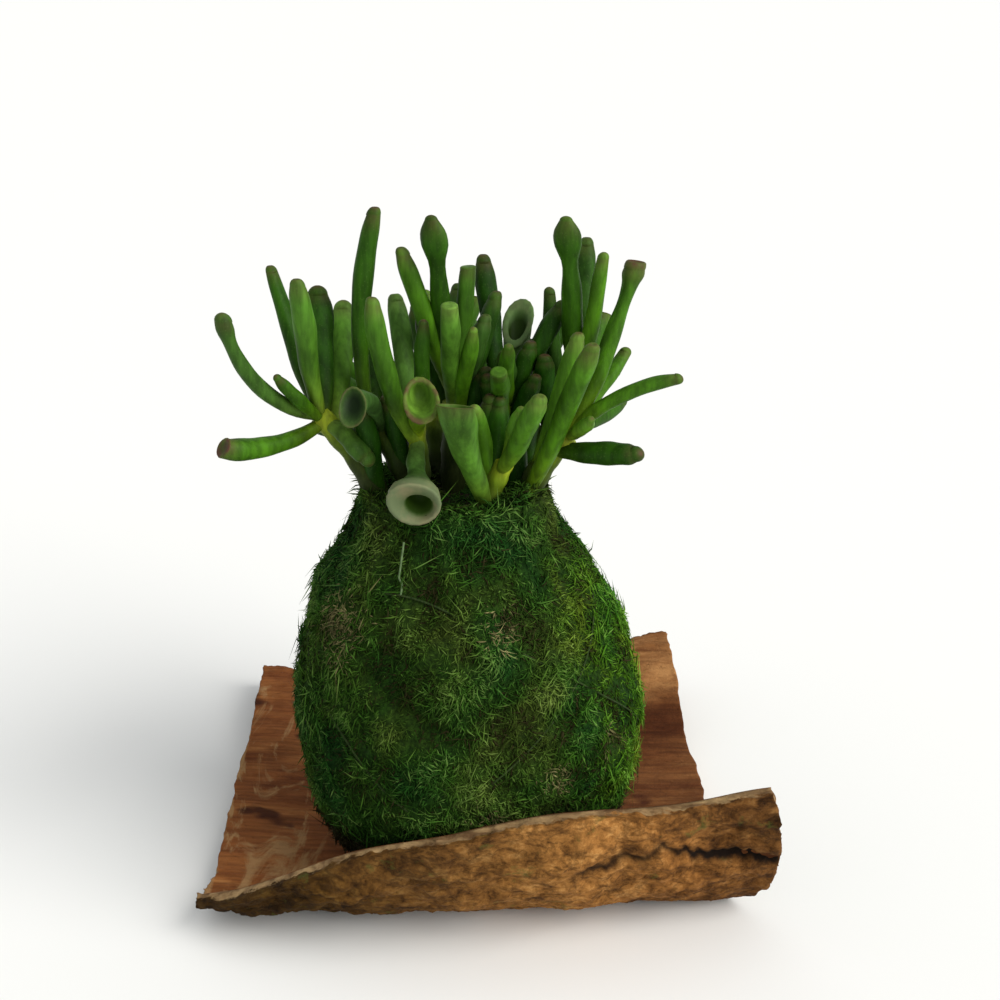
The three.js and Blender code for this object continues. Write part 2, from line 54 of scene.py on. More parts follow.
# Sizes in millimetres from the ball's axis and from the table.
BARK_FLOOR = 6.0  # thickness of the slab, and height of its inner face
BARK_LEFT, BARK_RIGHT, BARK_BACK = -79.0, 80.0, 119.0
BACK_NARROWER = 5.0  # each side comes in this much towards the back edge
LEFT_LIFT, LEFT_THINNER = 2.0, 2.0  # the left end stands up a little and is thinner
LIP_FRONT, LIP_FOOT = 58.0, 22.0  # how far in front of the axis the lip ends and starts
LIP_LEFT_OUT, LIP_OVERHANG = 2.0, 13.0  # the lip's ends stand out sideways at the left and right
LIP_LEFT_BACK, LIP_RIGHT_BACK = 16.0, 12.0  # the lip's front runs back towards both ends
LIP_LOW, LIP_RISE, LIP_END_RISE = 5.0, 37.5, 2.0  # its height at the left, and what it gains
LIP_CLIMB_START, LIP_CLIMB = -80.0, 110.0  # the lip climbs from here to the right, over this way
LIP_WAVE, LIP_WAVE_TOP, LIP_WAVE_PACE = 1.2, 30.0, 10.5  # the lip's edge waves up and down
LIP_THINNER, LIP_END_THINNER = 1.5, 2.5  # thinner halfway up the lip, and more so at its right end
EDGE_TURN, EDGE_WIDTH = 1.57, 0.1291  # the lip's edge is worn smoother round here, in radians
BACK_LOW, BACK_CURL, BACK_CURL_START = 2.0, 16.0, 55.0  # the back edge bends up, most at the right
FLOOR_SHARE = 0.45  # share of the rows from back to front that lie on the floor
BARK_COLUMNS, BARK_ROWS, BARK_LAYERS = 224, 160, 6


def ease(x, start, end):
    """Rises smoothly from 0 at start to 1 at end, as 3t squared less 2t cubed."""
    t = np.clip((x - start) / (end - start), 0, 1)
    return t * t * (3 - 2 * t)


def rough(u, v, cells_u, cells_v, seed, ring=False):
    """Smooth random heights from -1 to 1: one value at each corner of a lattice, eased between
    them. On a ring the lattice's last row is its first one again."""
    corner = np.random.default_rng(seed).uniform(-1, 1, (cells_u + 2, cells_v + 2))
    if ring:
        corner[cells_u:] = corner[:2]
    x, y = np.clip(u, 0, 1) * cells_u, np.clip(v, 0, 1) * cells_v
    i, j = x.astype(int), y.astype(int)
    s, t = ease(x - i, 0, 1), ease(y - j, 0, 1)
    near = (1 - s) * corner[i, j] + s * corner[i + 1, j]
    far = (1 - s) * corner[i, j + 1] + s * corner[i + 1, j + 1]
    return (1 - t) * near + t * far


# The fissure's way along the lip: places from left to right and the turn of the ellipse there, in
# degrees. Then its depth in the middle and what the right end adds to that, and the widths of the
# fissure, of the hollow beside it and of the painted shadow inside it, in degrees.
CRACK_PLACES, CRACK_TURNS = (32, 44, 57, 66, 74, 84, 95), (63, 69, 73, 67, 60, 57.5, 59)
CRACK_DEPTH, CRACK_END_DEPTH = 1.0, 1.4
CRACK_WIDTH, HOLLOW_WIDTH, CRACK_SHADOW_WIDTH = 3.0, 9.0, 2.4
CRACK_SHADOW_DEPTH = 1.1  # painted shadow: the fissure is painted quite dark where it is deeper than this


def fissure(x, u):
    """Where the fissure runs on the lip, as the turn of the ellipse, and how deep it is. It climbs
    from the middle of the lip, then falls to the right end, where it is deepest."""
    wander = 0.05 * rough(u, u * 0, 30, 1, 7) + 0.04 * rough(u, u * 0, 80, 1, 8)
    turn = np.radians(np.interp(x, CRACK_PLACES, CRACK_TURNS)) + wander
    return turn, CRACK_DEPTH * ease(x, 24, 38) + CRACK_END_DEPTH * ease(x, 58, 84)


def bell_curve(off, width):
    """One where off is nothing, and fading on both sides as e to the minus of its square."""
    return np.exp(-((off / width) ** 2))


def bark_point(u, v, w):
    """Point of the slab: u from left to right, v from the back edge over the floor and up the lip,
    w from the inner face to the outer one. The lip is a quarter of an ellipse, the thickness is
    laid off square to it, and the cork relief, the fissure and the broken edges are added."""
    floor_way = np.clip(v / FLOOR_SHARE, 0, 1)
    turn = np.clip((v - FLOOR_SHARE) / (1 - FLOOR_SHARE), 0, 1) * QUARTER_TURN
    row = 8 * floor_way + 11 * turn / QUARTER_TURN  # 0 at the back edge, 19 at the lip's edge
    back_way = np.maximum(1 - row / 9, 0)
    ragged = 0.3 * np.sin(0.9 * row) + 0.2 * np.sin(2.3 * row + 1)
    chip = 0.4 * rough(v, w, 46, 3, 3) + 0.35 * rough(v, w, 130, 5, 4)
    left = BARK_LEFT - BACK_NARROWER * back_way - LIP_LEFT_OUT * np.sin(turn) + ragged + chip
    right = BARK_RIGHT - BACK_NARROWER * back_way**2 - ragged - chip
    right = right + LIP_OVERHANG * np.sin(1.6 * turn)
    x = left + (right - left) * u
    left_back, right_back = LIP_LEFT_BACK * (x / BARK_RIGHT) ** 2, ease(x, 20, BARK_RIGHT)
    runs_back = np.where(x < 0, left_back, LIP_RIGHT_BACK * right_back)
    reach = LIP_FRONT - runs_back - LIP_FOOT
    climb = np.clip((x - LIP_CLIMB_START) / LIP_CLIMB, 0, 1)
    lift = LIP_LOW + LIP_RISE * np.sin(climb * QUARTER_TURN) + LIP_END_RISE * ease(x, 60, 95)
    lift = lift + LIP_WAVE * np.cos((x - LIP_WAVE_TOP) / LIP_WAVE_PACE)
    splinter = 0.7 * rough(u, w, 90, 4, 5) + 0.5 * rough(u, w, 190, 6, 6)
    back = BARK_BACK + 1.5 * np.sin(x / 9) + 1.2 * np.sin(x / 4 + 2) + splinter
    floor = BARK_FLOOR + LEFT_LIFT * ease(-x, 45, 84)
    y = back + (-LIP_FOOT - back) * floor_way - reach * np.sin(turn)
    curl = (BACK_LOW + BACK_CURL * ease(x, -20, BARK_RIGHT)) * ease(y, BACK_CURL_START, BARK_BACK)
    z = floor + curl + lift * (1 - np.cos(turn))
    out_y, out_z = -np.sin(turn) / reach, -np.cos(turn) / lift
    length = np.hypot(out_y, out_z)
    out_y, out_z = out_y / length, out_z / length
    cork = 0.8 * np.sin(x / 5 + 2 * turn) + 0.7 * np.sin(9 * turn - x / 11)
    crack_turn, crack_depth = fissure(x, u)
    crack = crack_depth * bell_curve(turn - crack_turn, np.radians(CRACK_WIDTH))
    wide = 0.6 * crack_depth * bell_curve(turn - crack_turn - 0.06, np.radians(HOLLOW_WIDTH))
    bend = (LIP_THINNER + LIP_END_THINNER * ease(x, 73, 93)) * np.sin(2 * turn)
    thick = BARK_FLOOR - LEFT_THINNER * ease(-x, 60, 84) - bend + np.sin(turn) * cork
    thick = thick - crack - wide
    plates = 1.0 * rough(u, v, 30, 26, 9) + 0.6 * rough(u, v, 64, 50, 10)
    grains = 0.45 * rough(u, v, 130, 96, 11) + 0.25 * rough(u, v, 210, 150, 12)
    furrows = 0.5 * (np.abs(rough(u, v, 20, 44, 13)) - 0.4)
    worn = 1 - 0.5 * bell_curve(turn - EDGE_TURN, EDGE_WIDTH)
    outer_relief = (plates + grains + furrows) * np.sin(turn) * worn
    inner_relief = 0.16 * rough(u, v, 24, 110, 14) + 0.25 * rough(u, v, 12, 18, 15)
    off = thick * w + outer_relief * w - inner_relief * (1 - w)
    torn_edge = 0.7 * rough(u, w, 60, 3, 16) + 0.4 * rough(u, w, 170, 4, 17)
    edge = 4 * w * (1 - w) * (v > 0.999) * torn_edge
    return np.stack([x, y + off * out_y, np.maximum(z + off * out_z + edge, 0)], -1)


def grid_faces(rows, columns, start=0, flip=False):
    """Four-cornered faces of a grid of points stored row by row from index start."""
    a = start + np.arange(rows - 1)[:, None] * columns + np.arange(columns - 1)[None, :]
    faces = np.stack([a, a + 1, a + columns + 1, a + columns], -1).reshape(-1, 4)
    return faces[:, ::-1] if flip else faces


def make_piece(name, points, face_groups, material, **values):
    """A mesh of points in millimetres from the ball's axis, moved to their place in the part. Each
    group of faces has one number of corners, and values are numbers kept at the points."""
    mesh = bpy.data.meshes.new(name)
    place = (points + BALL_AXIS / MM) * MM
    corners = np.concatenate([group.ravel() for group in face_groups])
    sizes = np.concatenate([np.full(len(group), group.shape[1]) for group in face_groups])
    mesh.vertices.add(len(place))
    mesh.vertices.foreach_set("co", place.astype(np.float32).ravel())
    mesh.loops.add(len(corners))
    mesh.loops.foreach_set("vertex_index", corners.astype(np.int32))
    mesh.polygons.add(len(sizes))
    mesh.polygons.foreach_set("loop_start", (np.cumsum(sizes) - sizes).astype(np.int32))
    mesh.polygons.foreach_set("loop_total", sizes.astype(np.int32))
    mesh.polygons.foreach_set("use_smooth", np.ones(len(sizes), bool))
    for key, value in values.items():
        kept = mesh.attributes.new(key, "FLOAT", "POINT")
        kept.data.foreach_set("value", np.asarray(value, np.float32).ravel())
    mesh.update(calc_edges=True)
    mesh.validate()
    mesh.materials.append(material)
    piece = bpy.data.objects.new(name, mesh)
    bpy.context.scene.collection.objects.link(piece)
    return piece


def new_material(name, roughness, specular):
    """A material with one shader, whose roughness and specular level are set on it directly."""
    material = bpy.data.materials.new(name)
    material.use_nodes = True
    tree = material.node_tree
    shader = tree.nodes["Principled BSDF"]
    shader.inputs["Roughness"].default_value = roughness
    shader.inputs["Specular IOR Level"].default_value = specular
    return material, tree, shader


def node(tree, kind, feeds=(), **settings):
    """Adds a node. Feeds are its inputs by name or number, each a socket or a plain value."""
    made = tree.nodes.new(kind)
    for key, value in settings.items():
        setattr(made, key, value)
    for key, value in dict(feeds).items():
        if isinstance(value, bpy.types.NodeSocket):
            tree.links.new(value, made.inputs[key])
        else:
            made.inputs[key].default_value = value
    return made


def noise(tree, scale, stretch=(1, 1, 1), detail=4, roughness=0.6, distortion=0.0):
    """Noise on Object coordinates, in cells per metre, stretched along the axes."""
    place = node(tree, "ShaderNodeTexCoord").outputs["Object"]
    turned = node(tree, "ShaderNodeMapping", {"Vector": place, "Scale": stretch})
    feeds = {"Vector": turned.outputs[0], "Scale": scale, "Detail": detail}
    feeds.update({"Roughness": roughness, "Distortion": distortion})
    return node(tree, "ShaderNodeTexNoise", feeds).outputs["Fac"]


def ramp(tree, value, *stops):
    """Colours or greys at the given places, blended between them."""
    made = node(tree, "ShaderNodeValToRGB", {"Fac": value})
    elements = made.color_ramp.elements
    while len(elements) < len(stops):
        elements.new(1.0)
    for element, (place, colour) in zip(elements, stops):
        shade = (colour,) * 3 if isinstance(colour, (int, float)) else colour
        element.position, element.color = place, (*shade, 1)
    return made.outputs["Color"]


def blend_colour(tree, share, under, over, how="MIX"):
    """Lays the colour over onto the colour under, by share."""
    feeds = {0: share, 6: under, 7: over}
    for key in (6, 7):
        if isinstance(feeds[key], tuple):
            feeds[key] = (*feeds[key], 1)
    made = node(tree, "ShaderNodeMix", feeds, data_type="RGBA", blend_type=how)
    return made.outputs[2]


def times(tree, under, over, share=1.0):
    """Multiplies the colour under by the colour over, by share."""
    return blend_colour(tree, share, under, over, "MULTIPLY")


def bump(tree, shader, height, strength, distance, under=None):
    """Feeds a height into the shader's normal. Distance is the relief in millimetres."""
    feeds = {"Height": height, "Strength": strength, "Distance": distance * MM}
    if under is not None:
        feeds["Normal"] = under
    made = node(tree, "ShaderNodeBump", feeds)
    tree.links.new(made.outputs[0], shader.inputs["Normal"])
    return made.outputs[0]


def kept_value(tree, name):
    """A number kept at the points of the mesh."""
    return node(tree, "ShaderNodeAttribute", attribute_name=name).outputs["Fac"]


def bark_material():
    """Reddish streaked wood on the inner face, lighter towards the left end and darker towards the
    right, with a dark band of painted shade and pale fibres at the right and pale torn curls at the
    left. Ochre cork on the outer face, pale layers at breaks, and painted shadow deep in the
    fissure."""
    material, tree, shader = new_material("bark", 0.85, 0.1)
    streaks = noise(tree, 90, (0.16, 1.0, 1.0), 8, 0.64, 0.5)
    inner = ramp(tree, streaks, (0.25, (0.07, 0.023, 0.009)), (0.43, (0.165, 0.058, 0.019)),
                 (0.56, (0.22, 0.086, 0.028)), (0.76, (0.34, 0.16, 0.058)))
    grain = ramp(tree, noise(tree, 620, (0.06, 1, 1), 4, 0.6), (0.35, 0.78), (0.62, 1.12))
    inner = times(tree, inner, grain)
    across, back = kept_value(tree, "across"), kept_value(tree, "back")
    # Lighter towards the left end of the inner face and darker towards the right end.
    lightness_change = ramp(tree, across, (0.0, (1.55, 1.45, 1.25)), (0.3, (1.3, 1.2, 1.1)),
                    (0.78, (0.8, 0.78, 0.75)), (1.0, (0.9, 0.88, 0.85)))
    inner = times(tree, inner, lightness_change)
    at_right = ramp(tree, across, (0.78, 0.0), (0.88, 1.0))
    # Painted shade: a dark band across the inner face at the back right, below where the back edge
    # curls up.
    painted_shade_band = ramp(tree, back, (0.02, 0.0), (0.12, 0.9), (0.32, 0.9), (0.45, 0.0))
    painted_shade_band = times(tree, painted_shade_band, at_right)
    inner = times(tree, inner, (0.4, 0.3, 0.28), painted_shade_band)
    fibres = ramp(tree, noise(tree, 150, (0.3, 1, 1), 8, 0.7, 1.5), (0.35, 0.25), (0.58, 1.0))
    fibres = times(tree, fibres, ramp(tree, back, (0.42, 0.0), (0.6, 1.0)))
    fibres = times(tree, fibres, at_right)
    inner = blend_colour(tree, fibres, inner, (0.43, 0.21, 0.075))
    stains = ramp(tree, noise(tree, 30, (0.6, 1, 1), 6, 0.7), (0.47, 0.0), (0.62, 0.8))
    inner = times(tree, inner, (0.5, 0.38, 0.3), stains)
    knots = ramp(tree, noise(tree, 60, (1, 1, 1), 2, 0.4), (0.67, 0.0), (0.72, 0.9))
    inner = blend_colour(tree, knots, inner, (0.05, 0.012, 0.005))
    torn = ramp(tree, noise(tree, 60, (1.2, 0.35, 1), 8, 0.65, 1.2), (0.52, 0.0), (0.6, 0.85))
    at_left = ramp(tree, across, (0.03, 1.0), (0.17, 0.9), (0.24, 0.0))
    torn = times(tree, torn, at_left)
    inner = blend_colour(tree, torn, inner, (0.42, 0.24, 0.1))
    lumps = noise(tree, 170, (0.85, 1, 1), 10, 0.76, 0.2)
    outer = ramp(tree, lumps, (0.33, (0.04, 0.018, 0.005)), (0.43, (0.15, 0.068, 0.018)),
                 (0.54, (0.29, 0.14, 0.04)), (0.68, (0.5, 0.28, 0.1)))
    # Across the outer face from left to right: darkest and greyest at the left end, brightest a
    # little right of the middle, and greyer and darker again at the right end.
    tint_along_lip = ramp(tree, across, (0.0, (0.2, 0.19, 0.12)), (0.2, (0.29, 0.28, 0.155)),
                (0.42, (0.74, 0.69, 0.57)), (0.64, (1.22, 1.14, 1.0)), (0.82, (1.0, 0.87, 0.73)),
                (1.0, (0.58, 0.5, 0.42)))
    outer = times(tree, outer, tint_along_lip)
    sodden = ramp(tree, noise(tree, 30, (0.45, 1, 1), 3, 0.55), (0.38, 0.5), (0.56, 1.08))
    outer = times(tree, outer, sodden, 0.6)
    veins = ramp(tree, noise(tree, 260, (0.6, 1, 1.2), 7, 0.7, 0.4), (0.36, 0.35), (0.46, 1.0))
    outer = times(tree, outer, veins, 0.6)
    checks = ramp(tree, noise(tree, 100, (0.6, 1, 1), 9, 0.66, 0.4), (0.47, 1.0), (0.495, 0.25),
                  (0.505, 0.25), (0.53, 1.0))
    outer = times(tree, outer, checks, 0.45)
    lichen = ramp(tree, noise(tree, 75, (1, 1, 1.4), 5, 0.7), (0.6, 0.0), (0.68, 0.6))
    outer = blend_colour(tree, lichen, outer, (0.09, 0.1, 0.02))
    # Painted shadow: the deep part of the fissure is painted nearly black.
    outer = blend_colour(tree, kept_value(tree, "crack"), outer, (0.008, 0.004, 0.002))
    depth = kept_value(tree, "depth")
    skin = ramp(tree, depth, (0.0, 0.0), (0.1, 1.0))
    breaks = ramp(tree, noise(tree, 210, (0.25, 1, 2.5), 4), (0.35, (0.15, 0.08, 0.035)),
                  (0.65, (0.46, 0.3, 0.14)))
    colour = blend_colour(tree, skin, inner, breaks)
    ragged = ramp(tree, noise(tree, 330, (0.5, 1, 1), 5, 0.7), (0.3, 0.0), (0.7, 0.5))
    ragged = blend_colour(tree, 1.0, depth, ragged, "ADD")
    cover = ramp(tree, ragged, (0.76, 0.0), (0.9, 1.0))
    colour = blend_colour(tree, cover, colour, outer)
    tree.links.new(colour, shader.inputs["Base Color"])
    fine = bump(tree, shader, noise(tree, 260, (0.35, 1, 1), 8, 0.7), 0.5, 0.6)
    coarse = bump(tree, shader, lumps, 0.7, 1.8, fine)
    bump(tree, shader, checks, 0.5, 0.6, coarse)
    return material


def make_bark():
    """Six grids, one for each side of the slab, joined where they meet."""
    u, v = np.linspace(0, 1, BARK_COLUMNS), np.linspace(0, 1, BARK_ROWS)
    w = np.linspace(0, 1, BARK_LAYERS)
    sides = [
        (np.meshgrid(u, v, indexing="ij"), lambda a, b: (a, b, a * 0), False),
        (np.meshgrid(u, v, indexing="ij"), lambda a, b: (a, b, a * 0 + 1), True),
        (np.meshgrid(u, w, indexing="ij"), lambda a, b: (a, b * 0, b), True),
        (np.meshgrid(u, w, indexing="ij"), lambda a, b: (a, b * 0 + 1, b), False),
        (np.meshgrid(v, w, indexing="ij"), lambda a, b: (a * 0, a, b), False),
        (np.meshgrid(v, w, indexing="ij"), lambda a, b: (a * 0 + 1, a, b), True),
    ]
    shares, faces, start = [], [], 0
    for (first, second), place, flip in sides:
        shares.append(np.stack(place(first, second), -1).reshape(-1, 3))
        faces.append(grid_faces(*first.shape, start, flip))
        start += first.size
    shares = np.concatenate(shares)
    points, faces = bark_point(*shares.T), np.concatenate(faces)
    _, own, again = np.unique(np.round(points, 4), axis=0, return_index=True, return_inverse=True)
    points, faces = points[own], again.ravel()[faces]
    across, forward, depth = shares[own].T
    turn = (forward - FLOOR_SHARE) / (1 - FLOOR_SHARE) * QUARTER_TURN
    crack_turn, crack_depth = fissure(points[:, 0], across)
    # How strongly painted shadow darkens the fissure, by its depth.
    crack = crack_depth / CRACK_SHADOW_DEPTH * bell_curve(turn - crack_turn, np.radians(CRACK_SHADOW_WIDTH))
    return make_piece("bark", points, [faces], bark_material(), depth=depth, across=across,
                      crack=np.clip(crack * (depth > 0.8), 0, 1),
                      back=ease(points[:, 1], 52, BARK_BACK))


bark = make_bark()
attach(bark, "root")
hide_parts("bark_slab")

# Soil ball: a lump of damp clay soil and bark crumbs pressed by hand round the roots. Only its top
# shows, between the stems in the neck of the moss.

BALL_BASE = 6.3  # height of the ball's foot above the table
BALL_HEIGHT, BALL_LEAN = 122.0, 4.0  # its height, and how far its neck leans to the left
MOSS_THICKNESS, GAP = 5.0, 0.3
SOIL_TOP = BALL_HEIGHT - 5  # the soil ends a little below the moss of the neck
# The ball's outline: heights above its base, and its radius there.
OUTLINE_HEIGHT = np.array([0, 7, 22, 42, 69, 88, 108, BALL_HEIGHT])
OUTLINE_RADIUS = np.array([25, 41, 51, 55, 52.5, 46.5, 34.5, 29])


def smooth_through(at, places, values):
    """A curve through the given values, with the slope at each place taken from its neighbours."""
    slope = np.gradient(values, places)
    i = np.clip(np.searchsorted(places, at, side="right") - 1, 0, len(places) - 2)
    step = places[i + 1] - places[i]
    t = (at - places[i]) / step
    rise = values[i + 1] - values[i]
    bend = t * (1 - t) * ((1 - t) * (slope[i] * step - rise) - t * (slope[i + 1] * step - rise))
    return values[i] + t * rise + bend


def ball_point(angle, height, inset, relief=0.0):
    """Point of the pear: the outline's radius at a height, less inset and plus relief, turned round
    an axis that leans to the left above the middle."""
    radius = smooth_through(height, OUTLINE_HEIGHT, OUTLINE_RADIUS) - inset + relief
    lean = BALL_LEAN * ease(height, 45, BALL_HEIGHT)
    return np.stack([radius * np.cos(angle) - lean, radius * np.sin(angle), BALL_BASE + height], -1)


def hummock(angle, height):
    """Low waves of the moss, none at the base and the neck."""
    waves = np.sin(3 * angle + 0.05 * height + 0.6) + np.sin(5 * angle - 0.08 * height + 2)
    return 0.6 * waves * ease(height, 14, 40) * (1 - ease(height, 95, BALL_HEIGHT))


def close_round(points, first, last):
    """Faces of rings that run round, stored ring by ring, with a fan to a point at each end."""
    rings, columns = points.shape[:2]
    index = np.arange(rings * columns).reshape(rings, columns)
    index = np.concatenate([index, index[:, :1]], 1)
    a, b, c, d = index[:-1, :-1], index[:-1, 1:], index[1:, 1:], index[1:, :-1]
    walls = np.stack([a, b, c, d], -1).reshape(-1, 4)
    n = rings * columns
    bottom = np.stack([np.full(columns, n), index[0, 1:], index[0, :-1]], -1)
    top = np.stack([np.full(columns, n + 1), index[-1, :-1], index[-1, 1:]], -1)
    every = np.concatenate([points.reshape(-1, 3), [first], [last]])
    return every, walls, np.concatenate([bottom, top])


def soil_material():
    """Dark damp soil with lighter crumbs and bits of bark."""
    material, tree, shader = new_material("soil", 0.9, 0.2)
    crumbs = noise(tree, 420, (1, 1, 1), 8, 0.75)
    colour = ramp(tree, crumbs, (0.35, (0.008, 0.005, 0.003)), (0.55, (0.03, 0.018, 0.01)),
                  (0.75, (0.09, 0.055, 0.03)))
    tree.links.new(colour, shader.inputs["Base Color"])
    bump(tree, shader, crumbs, 0.9, 2.0)
    return material


def make_soil():
    """Rings up the wall and in over the crumbly top."""
    angle = np.linspace(0, FULL_TURN, 96, endpoint=False)[None, :]
    inset = MOSS_THICKNESS + GAP
    height = np.linspace(inset, SOIL_TOP, 40)[:, None]
    wall = ball_point(angle, height + angle * 0, inset)
    share = np.linspace(0.96, 0.06, 16)[:, None]
    rim = wall[-1][None]
    middle = np.array([-BALL_LEAN, 0, BALL_BASE + SOIL_TOP + 1])
    top = middle + (rim - middle) * share[..., None]
    around, inwards = np.broadcast_arrays(angle / FULL_TURN, share)
    top[..., 2] += 0.9 * rough(around, inwards, 40, 9, 21) * ease(share, 0, 0.5)
    foot = [0, 0, BALL_BASE + inset]
    points, walls, fans = close_round(np.concatenate([wall, top]), foot, middle)
    return make_piece("soil", points, [walls, fans], soil_material())


soil = make_soil()
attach(soil, "root")
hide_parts("soil_ball")

# Moss cover: sheets of fresh carpet moss laid round the soil ball, green side out, and held by the
# thread. The mat under the fronds is dark and matted.

MAT_INSET = 1.9
TUFT_RELIEF = 1.1
# Places where the moss has died back, as direction in degrees, height and size.
DEAD_SPOTS = (
    (-59, 47, 6), (-73, 93, 6), (-142, 88, 11), (-36, 52, 6), (-84, 38, 4),
    (170, 62, 7), (42, 80, 8), (118, 50, 9), (98, 100, 6), (72, 30, 6),
)
PAINTED_LIGHT_WAY = -12  # painted light: the side of the ball in this direction, in degrees, is painted lighter and yellower


def tuft_relief(angle, height):
    """Lumps of moss about 14, 7 and 3 mm across, as smooth random heights that are even all the way
    round, and none at the very foot."""
    around, up = np.mod(angle / FULL_TURN, 1), height / (BALL_HEIGHT + 8)
    lumps = rough(around, up, 46, 18, 31, True) + 0.6 * rough(around, up, 112, 44, 32, True)
    lumps = lumps + 1.1 * rough(around, up, 24, 10, 33, True)
    return TUFT_RELIEF * lumps * ease(height, 3, 16)


def turn_from(way, angle):
    """How far an angle lies round from a way, from minus half a turn to half a turn."""
    return np.mod(angle - way + math.pi, FULL_TURN) - math.pi


def dead_spots_and_painted_light(angle, height):
    """How dead the moss is, and how much painted light it gets: each dead spot fades with the
    square of the distance from its middle, and the painted light on the lamp's side fades with the
    angle from its direction."""
    radius = smooth_through(height, OUTLINE_HEIGHT, OUTLINE_RADIUS)
    dead = np.zeros_like(height)
    for way, level, size in DEAD_SPOTS:
        around = radius * turn_from(math.radians(way), angle)
        dead = np.maximum(dead, bell_curve(np.hypot(around, height - level), size))
    fresh = ease(np.cos(angle - math.radians(PAINTED_LIGHT_WAY)), 0.7, 0.98)
    return dead, fresh * ease(height, 12, 40) * (1 - ease(height, 88, 112))


def moss_material(name, mat):
    """Green moss: dark at the foot of the fronds, lighter and yellower at their tips, in patches of
    deeper and of yellower green, with dead brown fronds in the dead spots and here and there. The
    tone of each frond carries painted shade, deepest at the foot and in the hollows, and painted
    light on the lumps; the side towards the lamp gets painted light, lighter and yellower, and the
    lightest tips a pale painted highlight."""
    material, tree, shader = new_material(name, 0.8, 0.06)
    patch = noise(tree, 42, (1, 1, 1), 3, 0.55)
    deep = ramp(tree, patch, (0.32, (0.004, 0.018, 0.003)), (0.5, (0.008, 0.022, 0.003)),
                (0.68, (0.014, 0.024, 0.004)))
    light = ramp(tree, patch, (0.34, (0.021, 0.098, 0.012)), (0.5, (0.047, 0.132, 0.012)),
                 (0.66, (0.094, 0.152, 0.02)))
    if mat:
        crumbs = noise(tree, 700, (1, 1, 1), 6, 0.7)
        colour = blend_colour(tree, ramp(tree, crumbs, (0.4, 0.0), (0.7, 0.5)), deep, light)
        tree.links.new(colour, shader.inputs["Base Color"])
        bump(tree, shader, crumbs, 0.9, 1.5)
        return material
    along, tone = kept_value(tree, "along"), kept_value(tree, "tone")
    foot = blend_colour(tree, 0.3, deep, light)
    colour = blend_colour(tree, along, foot, light)
    # The tone holds each tuft's own lightness together with the painted shade and light; this ramp
    # turns it into darker and lighter colour.
    shade = ramp(tree, tone, (0.0, 0.12), (0.4, 0.66), (0.7, 1.12), (1.0, 1.9))
    colour = times(tree, colour, shade)
    # Painted light: the side of the ball towards the lamp is painted lighter and yellower.
    colour = times(tree, colour, (2.3, 2.0, 1.1), kept_value(tree, "fresh"))
    # Painted highlight: the tips of the lightest fronds are painted pale grey-green.
    lightness_change = ramp(tree, tone, (0.7, 0.0), (0.95, 0.7))
    lightness_change = times(tree, lightness_change, along)
    colour = blend_colour(tree, lightness_change, colour, (0.15, 0.19, 0.06))
    # The darkest fronds take the dead colour, nearly black brown at the lowest tone: a few are dead
    # fronds here and there, most are the painted shade at the foot.
    dead_and_shaded_fronds = ramp(tree, tone, (0.05, 1.0), (0.07, 0.0))
    dead = blend_colour(tree, 1.0, kept_value(tree, "dead"), dead_and_shaded_fronds, "LIGHTEN")
    straw = blend_colour(tree, tone, (0.022, 0.02, 0.006), (0.24, 0.22, 0.09))
    colour = blend_colour(tree, dead, colour, straw)
    tree.links.new(colour, shader.inputs["Base Color"])
    return material


def make_mat():
    """The matted underlayer: out along the base, up the outside, over the neck's rim and down
    inside as a closed shell."""
    angle = np.linspace(0, FULL_TURN, 136, endpoint=False)[None, :]
    height = BALL_HEIGHT * np.linspace(0, 1, 64)[:, None] ** 1.15
    inset = MAT_INSET * ease(height, 1, 10)
    relief = hummock(angle, height) + tuft_relief(angle, height)
    outside = ball_point(angle, height + 0 * angle, inset, relief)
    inner_height = np.linspace(BALL_HEIGHT - 0.6, MOSS_THICKNESS, 20)[:, None]
    inside = ball_point(angle, inner_height + 0 * angle, MOSS_THICKNESS)
    first, last = [0, 0, BALL_BASE], [0, 0, BALL_BASE + MOSS_THICKNESS]
    points, walls, fans = close_round(np.concatenate([outside, inside]), first, last)
    return make_piece("moss_mat", points, [walls, fans], moss_material("moss_mat", True))


moss_mat = make_mat()
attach(moss_mat, "root")
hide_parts("moss_cover")

# Moss fronds: the green shoots of the carpet moss, which grow in tufts and lie over each other.
# Long ones curl over short upright ones, hang out at the sides and close the neck round the stems.

TUFT_SPREAD = 1.9
FRONDS_IN_TUFT = 22
PAINTED_SHADE_LOW, PAINTED_SHADE_HIGH = 12, 34  # painted shade: full at the foot under the first height, none over the other
# Each kind: rings, shortest and longest, thinnest and thickest half width, lowest and highest rise
# from the surface in radians, and how much it curls sideways.
FROND_KINDS = {
    "curled": (2, 2.2, 4.4, 0.2, 0.34, 0.05, 0.8, 1.2),
    "short": (1, 1.5, 3.0, 0.22, 0.4, 0.2, 1.1, 0.0),
}


def unit(vectors):
    """Each vector made one long."""
    return vectors / np.maximum(np.linalg.norm(vectors, axis=-1, keepdims=True), 1e-9)


